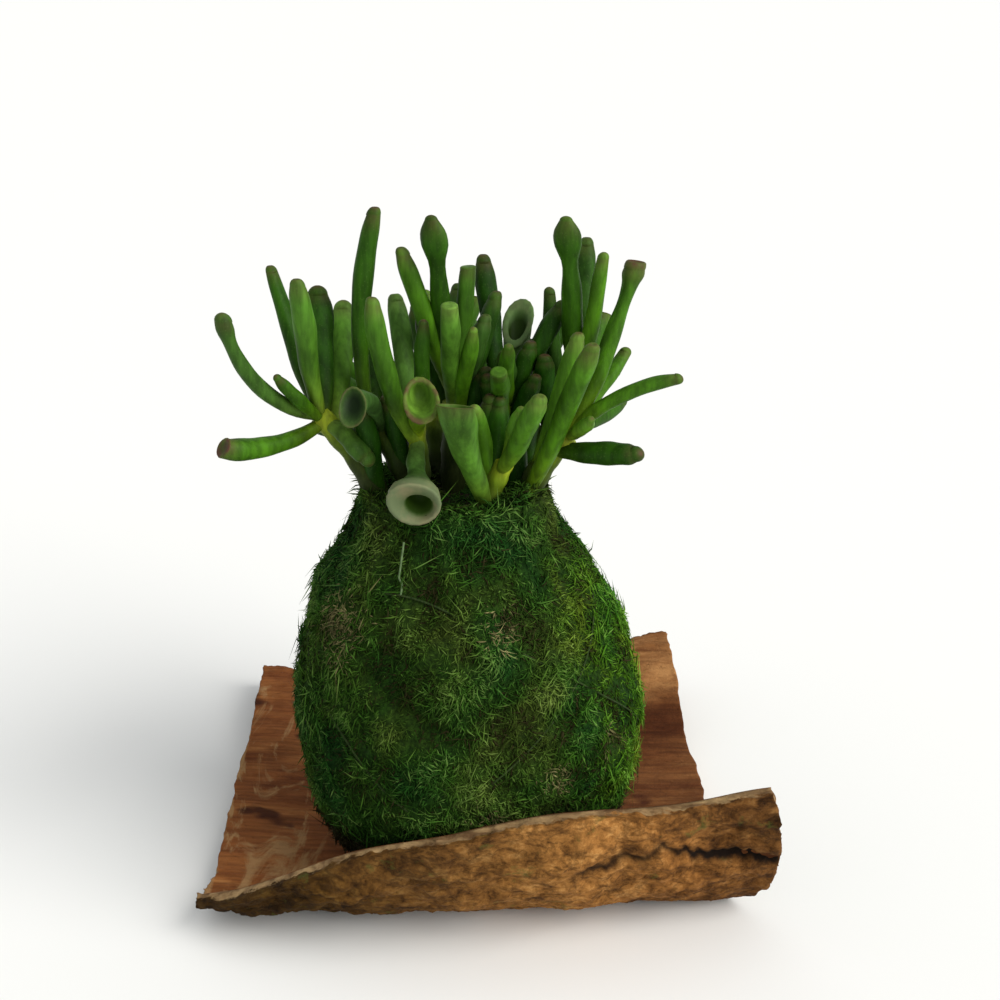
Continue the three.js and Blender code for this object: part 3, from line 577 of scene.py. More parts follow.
def frond_mesh(root, ahead, bend, length, width, rings, **values):
    """Each frond is a thin three-sided spike: rings of three corners from its root, then its tip.
    Its middle line leaves the root along ahead and turns to bend with the square of the way."""
    count, corners = len(root), 3 * rings + 1
    side = unit(np.cross(ahead, unit(bend) + 0.01))
    other = np.cross(ahead, side)
    share = np.linspace(0, 1, rings + 1)[None, :, None]
    way = ahead[:, None] * share + bend[:, None] * share**2
    line = root[:, None] + length[:, None, None] * way
    turn = np.arange(3)[None, :, None] * FULL_TURN / 3
    ring = side[:, None] * np.cos(turn) + other[:, None] * np.sin(turn)
    taper = np.array([0.8, 1.0, 0.8])[:rings] if rings > 1 else np.array([1.0])
    offset = ring[:, None] * (width[:, None] * taper)[..., None, None]
    body = (line[:, :-1, None] + offset).reshape(count, 3 * rings, 3)
    points = np.concatenate([body, line[:, -1:]], 1)
    low, after = np.arange(3), np.array([1, 2, 0])
    shape = [np.array([[0, 2, 1]])]
    for ring_start in 3 * np.arange(rings - 1):
        a, b = low + ring_start, after + ring_start
        shape += [np.stack([a, b, b + 3], -1), np.stack([a, b + 3, a + 3], -1)]
    last = 3 * (rings - 1)
    shape.append(np.stack([low + last, after + last, 0 * low + corners - 1], -1))
    faces = (corners * np.arange(count))[:, None, None] + np.concatenate(shape)[None]
    along = np.tile(np.append(np.repeat(np.arange(rings) / rings, 3), 1), count)
    kept = {key: np.repeat(value, corners) for key, value in values.items()}
    return points.reshape(-1, 3), faces.reshape(-1, 3), dict(kept, along=along)


def tufts_on_side(low, high, count, kind, seed):
    """The fronds between two heights of the ball's side, tuft by tuft. The heights are drawn in
    proportion to the side's area. The tone is lowered as painted shade towards the foot, more so
    low on the left side away from the lamp, and in the hollows between lumps, and it is raised as
    painted light on the lumps."""
    rings, shortest, longest, thin, thick, flat_rise, steep_rise, curling = FROND_KINDS[kind]
    draw = np.random.default_rng(seed)
    tufts = count // FRONDS_IN_TUFT + 1
    steps = np.linspace(low, high, 400)
    radius = smooth_through(steps, OUTLINE_HEIGHT, OUTLINE_RADIUS)
    area = np.cumsum(radius * np.hypot(1, np.gradient(radius, steps)))
    height = np.interp(draw.uniform(area[0], area[-1], tufts), area, steps)
    angle = draw.uniform(0, FULL_TURN, tufts)
    heading = draw.normal(-QUARTER_TURN, 1.2, tufts)
    tone = np.clip(draw.normal(0.5, 0.2, tufts), 0.05, 1)
    own = np.repeat(np.arange(tufts), FRONDS_IN_TUFT)[:count]
    height = np.clip(height[own] + draw.normal(0, TUFT_SPREAD, count), max(low - 1, 0.3), high)
    radius = smooth_through(height, OUTLINE_HEIGHT, OUTLINE_RADIUS)
    angle = angle[own] + draw.normal(0, TUFT_SPREAD, count) / radius
    slope_at = np.clip(height, 0.5, BALL_HEIGHT - 0.5)
    step = smooth_through(slope_at + 0.5, OUTLINE_HEIGHT, OUTLINE_RADIUS)
    step = step - smooth_through(slope_at - 0.5, OUTLINE_HEIGHT, OUTLINE_RADIUS)
    cos, sin, zero = np.cos(angle), np.sin(angle), np.zeros(count)
    outward = unit(np.stack([cos, sin, -step], -1))
    upward = unit(np.stack([step * cos, step * sin, np.ones(count)], -1))
    sideways = np.stack([-sin, cos, zero], -1)
    way = heading[own] + draw.normal(0, 0.6, count)
    rise = draw.uniform(flat_rise, steep_rise, count)
    wispy = draw.random(count) < (0.08 if rings > 1 else 0.02)
    rise = np.where(wispy, rise + 0.35, rise)
    flat = sideways * np.cos(way)[:, None] + upward * np.sin(way)[:, None]
    ahead = flat * np.cos(rise)[:, None] + outward * np.sin(rise)[:, None]
    curl = draw.normal(0, curling, (count, 1)) * np.cross(outward, flat)
    bend = curl - outward * draw.uniform(0.05, 0.45, (count, 1)) - np.array([0, 0, 0.1])
    relief = tuft_relief(angle, height)
    inset = MAT_INSET * ease(height, 1, 10) + 0.3
    root = ball_point(angle, height, inset, hummock(angle, height) + relief)
    length = draw.uniform(shortest, longest, count) * np.where(wispy, 1.3, 1) * ease(height, -8, 12)
    # Painted shade: darker towards the foot and, more so, low on the left side away from the lamp.
    # Below, the tone is also lowered in the hollows and raised on the lumps as painted shade and
    # light.
    painted_shade = 1 - ease(height, PAINTED_SHADE_LOW, PAINTED_SHADE_HIGH)
    painted_shade = painted_shade + 0.2 * (1 - ease(height, 4, 50)) * ease(-cos, -0.2, 0.9)
    tone = tone[own] + 0.22 * relief - painted_shade + draw.normal(0, 0.15, count)
    width, tone = draw.uniform(thin, thick, count), np.clip(tone, 0, 1)
    dead, fresh = dead_spots_and_painted_light(angle + draw.normal(0, 0.03, count), height)
    dead = dead > draw.uniform(0.25, 1.1, count)
    return frond_mesh(root, ahead, bend, length, width, rings, tone=tone, dead=dead, fresh=fresh)


NECK_REACH, NECK_RIM = 28, 26  # radius out to which fronds grow, and past which they lean out
HEAP_WAY, HEAP_HEIGHT = -0.5, 5.0  # direction of the heap in radians, and its height


def tufts_in_neck(count, kind, seed):
    """The fronds on the neck's rim, where they stand tall, and on the soil between the stems. Loose
    fronds are heaped up round the right-hand stem."""
    rings, shortest, longest, thin, thick, flat_rise, steep_rise, curling = FROND_KINDS[kind]
    draw = np.random.default_rng(seed)
    tufts = count // FRONDS_IN_TUFT + 1
    own = np.repeat(np.arange(tufts), FRONDS_IN_TUFT)[:count]
    spread = (draw.uniform(0, 1, tufts) ** 0.5)[own] + draw.normal(0, 0.05, count)
    angle = draw.uniform(0, FULL_TURN, tufts)[own] + draw.normal(0, 0.09, count)
    radius = NECK_REACH * np.clip(spread, 0.05, 1)
    level = SOIL_TOP + 0.3 + 4.4 * ease(radius, 12, 24)
    heap = bell_curve(turn_from(HEAP_WAY, angle), 0.5)
    level = level + HEAP_HEIGHT * heap * ease(radius, 10, 20) * draw.uniform(0, 1, count)
    cos, sin = np.cos(angle), np.sin(angle)
    root = np.stack([radius * cos - BALL_LEAN, radius * sin, BALL_BASE + level], -1)
    inward = np.stack([-cos, -sin, 0 * cos], -1) * np.where(radius > NECK_RIM, -1, 1)[:, None]
    around = np.stack([-sin, cos, 0 * cos], -1)
    flat = inward * draw.normal(0.3, 0.6, (count, 1)) + around * draw.normal(0, 0.7, (count, 1))
    flat = unit(flat)
    rise = draw.uniform(flat_rise + 0.2, steep_rise + 0.25, (count, 1))
    ahead = flat * np.cos(rise) + np.array([0, 0, 1]) * np.sin(rise)
    bend = around * draw.normal(0, 0.3, (count, 1)) - np.array([0, 0, 0.3])
    length = draw.uniform(shortest, longest, count) * (1 + 0.5 * ease(radius, 20, 26))
    tone = np.clip(draw.normal(0.4, 0.15, tufts)[own] + draw.normal(0, 0.15, count), 0, 1)
    width = draw.uniform(thin, thick, count)
    none = 0 * tone
    return frond_mesh(root, ahead, bend, length, width, rings, tone=tone, dead=none, fresh=none)


# Each zone of the side: lowest and highest point, and how many curled and short fronds it has.
SIDE_ZONES = {
    "moss_fronds_foot": (0.3, 30, 7400, 24000),
    "moss_fronds_belly": (30, 60, 7400, 24000),
    "moss_fronds_shoulder": (60, 92, 7400, 24000),
    "moss_fronds_top": (92, BALL_HEIGHT, 5400, 15000),
}
CURLED_SEED, SHORT_SEED = 41, 51

fronds_finish = moss_material("moss_fronds", False)
frond_zones = {
    zone: [tufts_on_side(low, high, curled, "curled", CURLED_SEED + number),
           tufts_on_side(low, high, short, "short", SHORT_SEED + number)]
    for number, (zone, (low, high, curled, short)) in enumerate(SIDE_ZONES.items())
}
neck_fronds = [tufts_in_neck(2900, "curled", 45), tufts_in_neck(5200, "short", 55)]
frond_zones["moss_fronds_neck"] = neck_fronds
for zone, kinds in frond_zones.items():
    starts = np.cumsum([0] + [len(points) for points, faces, kept in kinds])
    points = np.concatenate([points for points, faces, kept in kinds])
    faces = np.concatenate([faces + start for (_, faces, _), start in zip(kinds, starts)])
    kept = {key: np.concatenate([kept[key] for _, _, kept in kinds]) for key in kinds[0][2]}
    piece = make_piece(zone, points, [faces], fronds_finish, **kept)
    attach(piece, "root")
    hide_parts("moss_cover")

# Binding thread: thin cotton thread wound round the moss by hand and tied off. Its turns sink among
# the fronds, which stain them green, and one clean cut end lies on the moss at the front left.

THREAD_RADIUS, THREAD_SUNK = 0.3, 2.1  # how thin it is, and how deep it lies under the moss tips
THREAD_TURNS = (245, 20, 135)  # directions in which the turns are highest, in degrees
THREAD_MIDDLE, THREAD_SWING = 58.0, 42.0  # height of each turn's middle, and its swing up and down
TAIL_TOP, TAIL_OUT = 115.0, 3.3  # height where the cut end stops, and how far it comes out
THREAD_SIDES = 6


def thread_point(angle, height, sunk):
    """The thread's middle line lies sunk millimetres under the tips of the moss."""
    return ball_point(angle, height, sunk, hummock(angle, height))


def tube(path, radius, sides, closed):
    """Rings of points square to a path, which is closed on itself or open."""
    if closed:
        ahead = unit(np.roll(path, -1, 0) - np.roll(path, 1, 0))
    else:
        ahead = unit(np.gradient(path, axis=0))
    outward = unit(path * [1, 1, 0])
    across = unit(np.cross(ahead, outward))
    normal = np.cross(across, ahead)
    turn = np.linspace(0, FULL_TURN, sides, endpoint=False)[None, :, None]
    offset = normal[:, None] * np.cos(turn) + across[:, None] * np.sin(turn)
    return path[:, None] + radius * offset


def thread_material():
    """Cotton, stained dark green where it is wound and paler at its end, with fine strands."""
    material, tree, shader = new_material("thread", 0.8, 0.1)
    strands = noise(tree, 1400, (1, 1, 0.3), 3)
    stained = ramp(tree, strands, (0.35, (0.012, 0.026, 0.006)), (0.65, (0.035, 0.055, 0.015)))
    clean = ramp(tree, strands, (0.35, (0.06, 0.1, 0.04)), (0.65, (0.12, 0.18, 0.08)))
    colour = blend_colour(tree, kept_value(tree, "clean"), stained, clean)
    tree.links.new(colour, shader.inputs["Base Color"])
    bump(tree, shader, strands, 0.7, 0.15)
    return material


def make_thread():
    """Three closed turns that swing up and down round the ball, and the cut end, which runs up from
    one of them and comes out of the fronds below the neck."""
    points, faces, fans, start = [], [], [], 0
    angle = np.linspace(0, FULL_TURN, 200, endpoint=False)
    for highest in THREAD_TURNS:
        height = THREAD_MIDDLE + THREAD_SWING * np.cos(angle - math.radians(highest))
        rings = tube(thread_point(angle, height, THREAD_SUNK), THREAD_RADIUS, THREAD_SIDES, True)
        index = start + np.arange(rings[..., 0].size).reshape(rings.shape[:2])
        index = np.concatenate([index, index[:1]], 0)
        index = np.concatenate([index, index[:, :1]], 1)
        corners = [index[:-1, :-1], index[:-1, 1:], index[1:, 1:], index[1:, :-1]]
        faces.append(np.stack(corners, -1).reshape(-1, 4))
        points.append(rings.reshape(-1, 3))
        start += rings[..., 0].size
    knot = THREAD_MIDDLE + THREAD_SWING
    way = np.linspace(0, 1, 40)
    height = knot + (TAIL_TOP - knot) * way
    sunk = THREAD_SUNK - TAIL_OUT * ease(way, 0.15, 0.4)
    end_path = thread_point(math.radians(THREAD_TURNS[0]) + 0 * way, height, sunk)
    rings = tube(end_path, THREAD_RADIUS, THREAD_SIDES, False)
    more, walls, caps = close_round(rings, end_path[0], end_path[-1])
    clean = np.append(np.zeros(start), np.ones(len(more)))
    points.append(more)
    faces.append(walls + start)
    fans.append(caps + start)
    faces = [np.concatenate(faces), np.concatenate(fans)]
    return make_piece("thread", np.concatenate(points), faces, thread_material(), clean=clean)


thread = make_thread()
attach(thread, "root")
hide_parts("binding_thread")

# Leafy stems: short fleshy branches of a finger-leaved jade plant. The leaves are juicy tubes with
# waxy skin, and their tips are slanting discs, cups or spoons with a reddish brown rim. Each stem
# and its leaves are one growth, and the stems stand in the soil among the roots.

STEM_FOOT = BALL_BASE + SOIL_TOP - 14
STEM_SIDES, STEM_RINGS = 16, 22
LEAF_SIDES, LEAF_RINGS = 18, 26
YELLOW_UNDER = 32  # a leaf shorter than this is yellow further along
DRY_LEAVES = {"bell": 0.95, "funnel": 0.4}  # how far the end of an old wide leaf has dried out

# Each form: rings as share of the length, half width and half depth, then the slant of the tip in
# degrees, the kind of tip, and its height or its hollow's depth in millimetres.
LEAF_FORMS = {
    "finger": ([[0, 1.8, 1.5], [0.2, 2.5, 2.2], [0.55, 3.1, 2.9], [0.8, 3.2, 3], [0.91, 2.9, 2.7],
                [0.97, 2.3, 2.1]], 12, "dimpled", 2.3),
    "stout": ([[0, 2.4, 2.1], [0.2, 3, 2.7], [0.5, 3.6, 3.4], [0.8, 3.6, 3.4], [0.91, 3.3, 3.1],
               [0.97, 2.6, 2.4]], 10, "rounded", 2.6),
    "spindle": ([[0, 1.6, 1.3], [0.25, 2.5, 2.3], [0.6, 2.5, 2.3], [0.84, 2.3, 2.1],
                 [0.92, 2.9, 2.7], [0.96, 2.7, 2.5]], 8, "rounded", 2.7),
    "slim": ([[0, 1.5, 1.3], [0.25, 2.3, 2.1], [0.55, 2.4, 2.2], [0.85, 2.2, 2], [0.96, 1.8, 1.7]],
             10, "rounded", 1.9),
    "taper": ([[0, 1.8, 1.5], [0.2, 2.7, 2.4], [0.45, 3.2, 2.9], [0.8, 2.3, 2.1], [0.95, 1.7, 1.6]],
              14, "dimpled", 1.8),
    "cropped": ([[0, 1.7, 1.5], [0.2, 2.3, 2.1], [0.5, 3.1, 2.9], [0.9, 3.4, 3.2], [0.985, 3.2, 3]],
                14, "scarred", 0.6),
    "stub": ([[0, 1.8, 1.5], [0.2, 2.4, 2.2], [0.6, 2.7, 2.5], [0.9, 2.7, 2.5], [0.985, 2.5, 2.3]],
             10, "flat", 0.6),
    "knob": ([[0, 1.7, 1.4], [0.25, 2.8, 2.5], [0.6, 2.7, 2.4], [0.84, 2.3, 2.1], [0.9, 2.7, 2.5],
              [0.95, 3.5, 3.3], [0.98, 3.3, 3.1]], 8, "scarred", 2.2),
    "cup": ([[0, 1.8, 1.5], [0.2, 2.5, 2.2], [0.55, 2.9, 2.7], [0.84, 3.1, 2.9], [1, 3.5, 3.3]],
            18, "open", 1.8),
    "flame": ([[0, 1.8, 1.5], [0.25, 2.9, 2.5], [0.6, 3, 2.6], [0.77, 2.5, 2.2], [0.86, 4.2, 3.1],
               [0.92, 4, 2.8], [0.98, 2, 1.5]], 0, "pointed", 1.2),
    "funnel": ([[0, 1.8, 1.5], [0.25, 2.8, 2.5], [0.5, 3.4, 3.2], [0.75, 4.4, 3.9],
                [0.9, 4.8, 4.3]], 59, "ringed", 6.5),
    "scoop": ([[0, 2, 1.7], [0.2, 2.6, 2.3], [0.5, 3.4, 3.1], [0.8, 4.5, 4.7], [1, 4.7, 5.5]],
              30, "bowl", 5.0),
    "ladle": ([[0, 1.8, 1.5], [0.2, 2.3, 2.1], [0.55, 2.7, 2.5], [0.84, 3.4, 3.6], [1, 3.8, 4.5]],
              35, "open", 2.0),
    "paddle": ([[0, 1.8, 1.5], [0.25, 3, 2.3], [0.6, 4.2, 2.8], [0.8, 4.3, 2.8], [0.91, 3.9, 2.5],
                [0.97, 3, 2]], 8, "rounded", 3.0),
    "trumpet": ([[0, 2, 1.7], [0.2, 2.7, 2.4], [0.5, 3.9, 3.2], [0.8, 4.9, 4], [0.97, 5.2, 4]],
                36, "open", 2.6),
    "bell": ([[0, 2, 1.9], [0.3, 2.8, 2.6], [0.58, 2.9, 2.7], [0.72, 4.8, 4.5], [0.86, 7.2, 6.8],
              [1, 7.7, 7.3]], 0, "belled", 7.0),
    "bud": ([[0, 1.4, 1.1], [0.3, 2.1, 1.8], [0.65, 2.4, 2.1], [0.88, 2, 1.8], [0.96, 1.4, 1.3]],
            0, "rounded", 1.5),
}

# Each kind of tip, ring by ring beyond the last ring of the body: its size as share of that ring,
# how far it stands out as share of the tip's height, how brown it is, and how deep in the hollow,
# which sets how much painted shade it gets.
LEAF_TIPS = {
    "pointed": [[0.9, 0.4, 0.1, 0], [0.7, 0.7, 0.2, 0], [0.42, 0.92, 0.4, 0], [0.18, 1, 0.7, 0]],
    "rounded": [[0.95, 0.31, 0.1, 0], [0.88, 0.48, 0.15, 0], [0.77, 0.64, 0.3, 0],
                [0.61, 0.79, 0.5, 0], [0.41, 0.91, 0.8, 0], [0.2, 0.98, 1, 0]],
    "dimpled": [[0.95, 0.31, 0.1, 0], [0.88, 0.49, 0.2, 0], [0.78, 0.67, 0.3, 0],
                [0.64, 0.84, 0.5, 0], [0.48, 0.95, 0.8, 0], [0.32, 0.95, 1, 0.2],
                [0.14, 0.88, 1, 0.4]],
    "flat": [[0.98, 0.5, 0, 0], [0.9, 0.9, 0.1, 0], [0.76, 1, 0.1, 0], [0.5, 0.9, 0, 0],
             [0.2, 0.85, 0, 0]],
    "scarred": [[1.02, 0.4, 0.7, 0], [0.95, 0.85, 1, 0], [0.82, 1, 1, 0], [0.6, 0.7, 1, 0.3],
                [0.35, 0.5, 1, 0.5], [0.12, 0.45, 1, 0.5]],
    "open": [[1.03, -0.08, 0.9, 0], [1.01, -0.13, 1, 0], [0.95, -0.12, 0.8, 0.05],
             [0.9, -0.02, 0.4, 0.2], [0.84, 0.18, 0.1, 0.4], [0.74, 0.42, 0, 0.65],
             [0.58, 0.68, 0, 0.85], [0.36, 0.9, 0, 1], [0.14, 0.99, 0, 1]],
    "ringed": [[1.06, -0.03, 0, 0], [1.08, -0.08, 0, 0], [1, -0.12, 0, 0], [0.86, -0.1, 0, 0],
               [0.72, -0.04, 0, 0], [0.62, 0.08, 0, 0.4], [0.56, 0.4, 0, 1], [0.38, 0.85, 0, 1],
               [0.14, 0.99, 0, 1]],
    "bowl": [[1.07, -0.03, 0.9, 0], [1.09, -0.12, 0.9, 0], [1, -0.17, 0.9, 0],
             [0.88, -0.12, 0.7, 0], [0.79, 0.06, 0.1, 0], [0.7, 0.4, 0, 0.05],
             [0.55, 0.7, 0, 0.2], [0.36, 0.9, 0, 0.45], [0.14, 0.99, 0, 0.5]],
    "belled": [[1.05, -0.03, 0, 0], [1.04, -0.08, 0.1, 0], [0.96, -0.11, 0.1, 0],
               [0.86, -0.06, 0, 0], [0.74, 0.03, 0, 0.05], [0.58, 0.1, 0, 0.2],
               [0.49, 0.3, 0, 0.9], [0.38, 0.75, 0, 1], [0.18, 0.99, 0, 1]],
}

HOLLOW_TIPS = ("open", "ringed", "bowl", "belled")
MOUTH_ASKEW = {"bell": (1.3, -1.5)}  # how far a mouth lies off the middle, sideways and upwards
DENTS = {"flame": 0.25}  # how far the upper side is pressed in, as share of the depth, if not 0.1

# Each stem: foot, crown, radius and brightness, then its leaves as share of the way up the stem,
# heading, rise, length, bow, form, brightness and how grey with wax the leaf is. Brightness is
# partly the leaf's own green and partly painted light and shade, low for leaves deep in the
# cluster.
STEMS = {
    "stem_left": ((-22, -3), (-43, -8, 152), 3.8, 0.5, [
        (1, -149, 50, 46, 65, "spindle", 0.3, 0.3), (0.95, -143, -3, 34, 42, "cropped", 0.45, 0),
        (0.95, -22, -36, 17, -30, "paddle", 0.3, 0.3), (0.95, 148, 68, 48, 10, "taper", 0.1, 0),
        (1, -110, 76, 43, 5, "finger", 0.55, 0.2), (0.95, 99, 68, 38, 0, "paddle", 0.05, 0),
        (0.9, -141, 46, 25, 10, "bud", 0.35, 0), (0.85, 86, 56, 39, 10, "paddle", 0.85, 0.3),
        (0.85, 100, 35, 34, 30, "finger", 0.2, 0), (0.25, -122, 75, 35, 0, "finger", 0, 0)]),
    "stem_left_inner": ((-12, -1), (-29, -2, 149), 3.8, 0.05, [
        (1, 0, 87, 63, -25, "finger", 0.15, 0), (0.85, -98, 28, 42, -60, "ladle", 0, 0.45),
        (0.9, 100, 45, 40, 15, "finger", 0.1, 0), (0.75, 135, 15, 34, 30, "finger", 0.1, 0),
        (0.2, -164, 75, 38, 0, "finger", 0, 0)]),
    "stem_middle_left": ((-13, -8), (-15, -6, 148), 3.2, 0.3, [
        (0.8, -135, 71, 50, 30, "finger", 0.55, 0.1), (0.8, 109, 61, 46, 0, "finger", 0.85, 0.5),
        (0.9, -84, 37, 31, -50, "scoop", 0.95, 0), (0.85, -90, -20, 28, 6, "bell", 0.45, 0.6),
        (1, -60, 80, 34, 10, "bud", 0.2, 0)]),
    "stem_middle": ((-5, 7), (-4, 7, 152), 4.0, 0.1, [
        (1, -154, 71, 50, 0, "finger", 0.6, 0), (1, -119, 78, 59, 0, "flame", 0.15, 0),
        (0.85, -91, 60, 46, 10, "stub", 1, 0.3), (0.95, 88, 54, 39, 10, "finger", 0.1, 0.2),
        (1, -33, 83, 42, 0, "stub", 0.35, 0.1), (0.9, 0, 72, 30, 0, "finger", 0.15, 0.3),
        (0.75, -71, 61, 41, 10, "bud", 1, 0), (0.7, 132, 68, 38, 10, "finger", 0.1, 0),
        (0.7, 20, 72, 44, 0, "finger", 0.05, 0.1), (0.6, -27, 66, 27, 0, "finger", 0, 0)]),
    "stem_front": ((3, -15), (11, -17, 141), 3.3, 1, [
        (0.45, -115, 75, 36.3, -60, "slim", 1, 0.1),
        (0.45, -115, 61, 43.5, 10, "trumpet", 0.6, 0.25),
        (0.85, -58, 53, 34.5, 10, "finger", 0.65, 0.1), (1, -58, 65, 20, 0, "bud", 0.9, 0.2),
        (0.6, 50, 82, 27.5, 0, "finger", 0.05, 0), (0.3, 65, 83, 38, 0, "finger", 0, 0)]),
    "stem_middle_right": ((9, 4), (11, 5, 152), 4, 0.1, [
        (1, 110, 65, 45, 25, "finger", 0, 0), (0.95, -89, 67, 20, 0, "finger", 0.1, 0.2),
        (0.9, -85, 59, 29, 0, "bud", 0.6, 0),
        (0.85, -94, 44, 29.5, 10, "stub", 0.45, 0), (1, 10, 60, 34, 0, "finger", 0.05, 0),
        (0.8, 48, 60, 26, 0, "finger", 0.1, 0), (0.8, -10, 72, 26, 0, "finger", 0.05, 0),
        (0.8, -129, 66, 17, 0, "stout", 0.05, 0), (0.6, -31, 64, 26, 0, "finger", 0, 0)]),
    "stem_right": ((12, -6), (29, -12, 147), 4.0, 0.6, [
        (0.35, -52, 61, 62, 5, "finger", 0.55, 0), (0.45, -24, 73, 51, 5, "finger", 0.85, 0.1),
        (0.85, -35, 8, 28, 5, "stout", 0.1, 0), (0.95, -4, 30, 40, -46, "slim", 0.5, 0),
        (1, 27, 66, 53, 15, "knob", 0.45, 0), (0.9, 43, 40, 37, 5, "slim", 0.6, 0),
        (1, -60, 35, 15, 20, "bud", 1, 0.2), (0.2, 90, 79, 27, 0, "finger", 0, 0)]),
    "stem_right_back": ((10, 12), (33, 8, 152), 3.6, 0.3, [
        (1, -112, 77, 59, 0, "flame", 0.2, 0), (1, 80, 73, 48, 5, "finger", 0.1, 0.1),
        (0.95, -62, 72, 52, 6, "slim", 0.75, 0), (0.8, 70, 25, 42, 30, "finger", 0.3, 0),
        (0.85, 68, 34, 42, 20, "cup", 0.3, 0), (0.75, 50, 0, 36, 30, "finger", 0.2, 0),
        (0.7, -101, 72, 26, 0, "finger", 0, 0), (0.4, -77, 69, 20, 0, "finger", 0, 0),
        (0.8, 120, 82, 40, 0, "slim", 0.15, 0.1)]),
    "stem_back": ((-9, 16), (-12, 27, 142), 3.4, 0.2, [
        (1, 95, 40, 48, 20, "finger"), (1, 150, 82, 34, 0, "finger"), (1, 20, 78, 30, 0, "finger"),
        (1, 150, 20, 44, 15, "cup"), (1, 60, 50, 42, 10, "cup"), (0.9, 135, 8, 48, 25, "finger"),
        (0.9, 85, 10, 46, 25, "cup"), (0.85, 165, 25, 42, 20, "finger"),
        (0.75, 160, 0, 42, 25, "cup")]),
    "stem_back_right": ((2, 13), (13, 28, 142), 3.4, 0.25, [
        (1, 88, 22, 44, 10, "cup"), (1, 74, 75, 31, 0, "funnel", 0.3, 0.7),
        (0.8, -60, 60, 20, 0, "finger"), (1, 5, 68, 34, 0, "finger"), (1, 48, 46, 44, 15, "cup"),
        (1, 118, 35, 44, 15, "flame"), (0.9, 55, 15, 46, 25, "finger"),
        (0.9, 95, 5, 44, 25, "cup"), (0.85, 24, 20, 42, 25, "finger")]),
}


def leaf_rings(base, heading, rise, length, bow, form, twist):
    """Rings of a leaf. Its middle line leaves base along heading and rise, and bends up by bow.
    Half width and half depth follow the form's curve, with a low dent along the upper side. The
    tip's rings come after the body's, the whole tip is sheared to its slant, and the rim of a
    hollow one is a little out of round."""
    rings, slant, tip, height = LEAF_FORMS[form]
    places, widths, depths = np.array(rings, float).T
    last = places[-1]
    share = last * np.sin(np.linspace(0, QUARTER_TURN, LEAF_RINGS)) ** 1.1
    swell = 1 + 0.035 * np.sin(9 * share + twist) + 0.025 * np.sin(23 * share + 2 * twist)
    width = smooth_through(share, places, widths) * swell
    depth = smooth_through(share, places, depths) * swell
    size, out, brown, hollow = np.array(LEAF_TIPS[tip]).T
    is_hollow = tip in HOLLOW_TIPS
    stand = np.concatenate([0 * share, out * height * (-1 if is_hollow else 1)])
    brown = np.concatenate([0.35 * ease(share, 0.9 * last, last), brown])
    hollow = np.concatenate([0 * share, hollow])
    width = np.concatenate([width, width[-1] * size])
    depth = np.concatenate([depth, depth[-1] * size])
    share = np.concatenate([share, 0 * size + last])
    pitch = np.radians(rise + bow * (share - 0.5))
    way = math.radians(heading)
    away = np.array([math.cos(way), math.sin(way), 0])
    side, up = np.array([-away[1], away[0], 0]), np.array([0, 0, 1])
    tangent = away * np.cos(pitch)[:, None] + up * np.sin(pitch)[:, None]
    normal = up * np.cos(pitch)[:, None] - away * np.sin(pitch)[:, None]
    steps = np.diff(share, prepend=0)[:, None] * length
    middle = (tangent + np.concatenate([tangent[:1], tangent[:-1]])) / 2
    sway = 0.45 * np.sin(7 * share + twist) * ease(share, 0, 0.4) * (1 - ease(share, 0.6, 1))
    line = base + np.cumsum(steps * middle, 0) + side * sway[:, None] + tangent * stand[:, None]
    inwards = np.concatenate([np.zeros(LEAF_RINGS), 1 - ease(size, 0.55, 0.95)])[:, None]
    askew, raised = MOUTH_ASKEW.get(form, (0, 0))
    line = line + inwards * (askew * side + raised * normal)
    turn = np.linspace(0, FULL_TURN, LEAF_SIDES, endpoint=False)[None, :]
    uneven = 0.035 * np.sin(2 * turn + twist) + 0.025 * np.sin(3 * turn + 2 * twist)
    uneven = 1 + uneven * ease(share, 0.6 * last, last)[:, None] * is_hollow
    width, depth = width[:, None] * uneven, depth[:, None] * uneven
    reach = width * np.cos(turn)
    on_body = (ease(share, 0.1, 0.5) * (share < last))[:, None]
    dent = DENTS.get(form, 0.1) * ease(np.sin(turn), 0.5, 1) * on_body
    rise_up = depth * np.sin(turn) * (1 - dent)
    cut = np.tan(np.radians(slant * ease(share, 0.6 * last, last)))[:, None]
    offset = normal[:, None] * rise_up[..., None] - tangent[:, None] * (rise_up * cut)[..., None]
    points = line[:, None] + side * reach[..., None] + offset
    return points, base - tangent[0] * 0.3, line[-1], share, brown, hollow


def stem_line(foot, crown, share):
    """Points of a stem's curve, which is bent at 0.3 of its way out and 0.65 of its way up."""
    low = np.array([foot[0], foot[1], STEM_FOOT])
    high = np.array(crown, float)
    bend = low + 0.3 * (high - low)
    bend[2] = STEM_FOOT + 0.65 * (high[2] - STEM_FOOT)
    return low * (1 - share) ** 2 + 2 * bend * share * (1 - share) + high * share**2


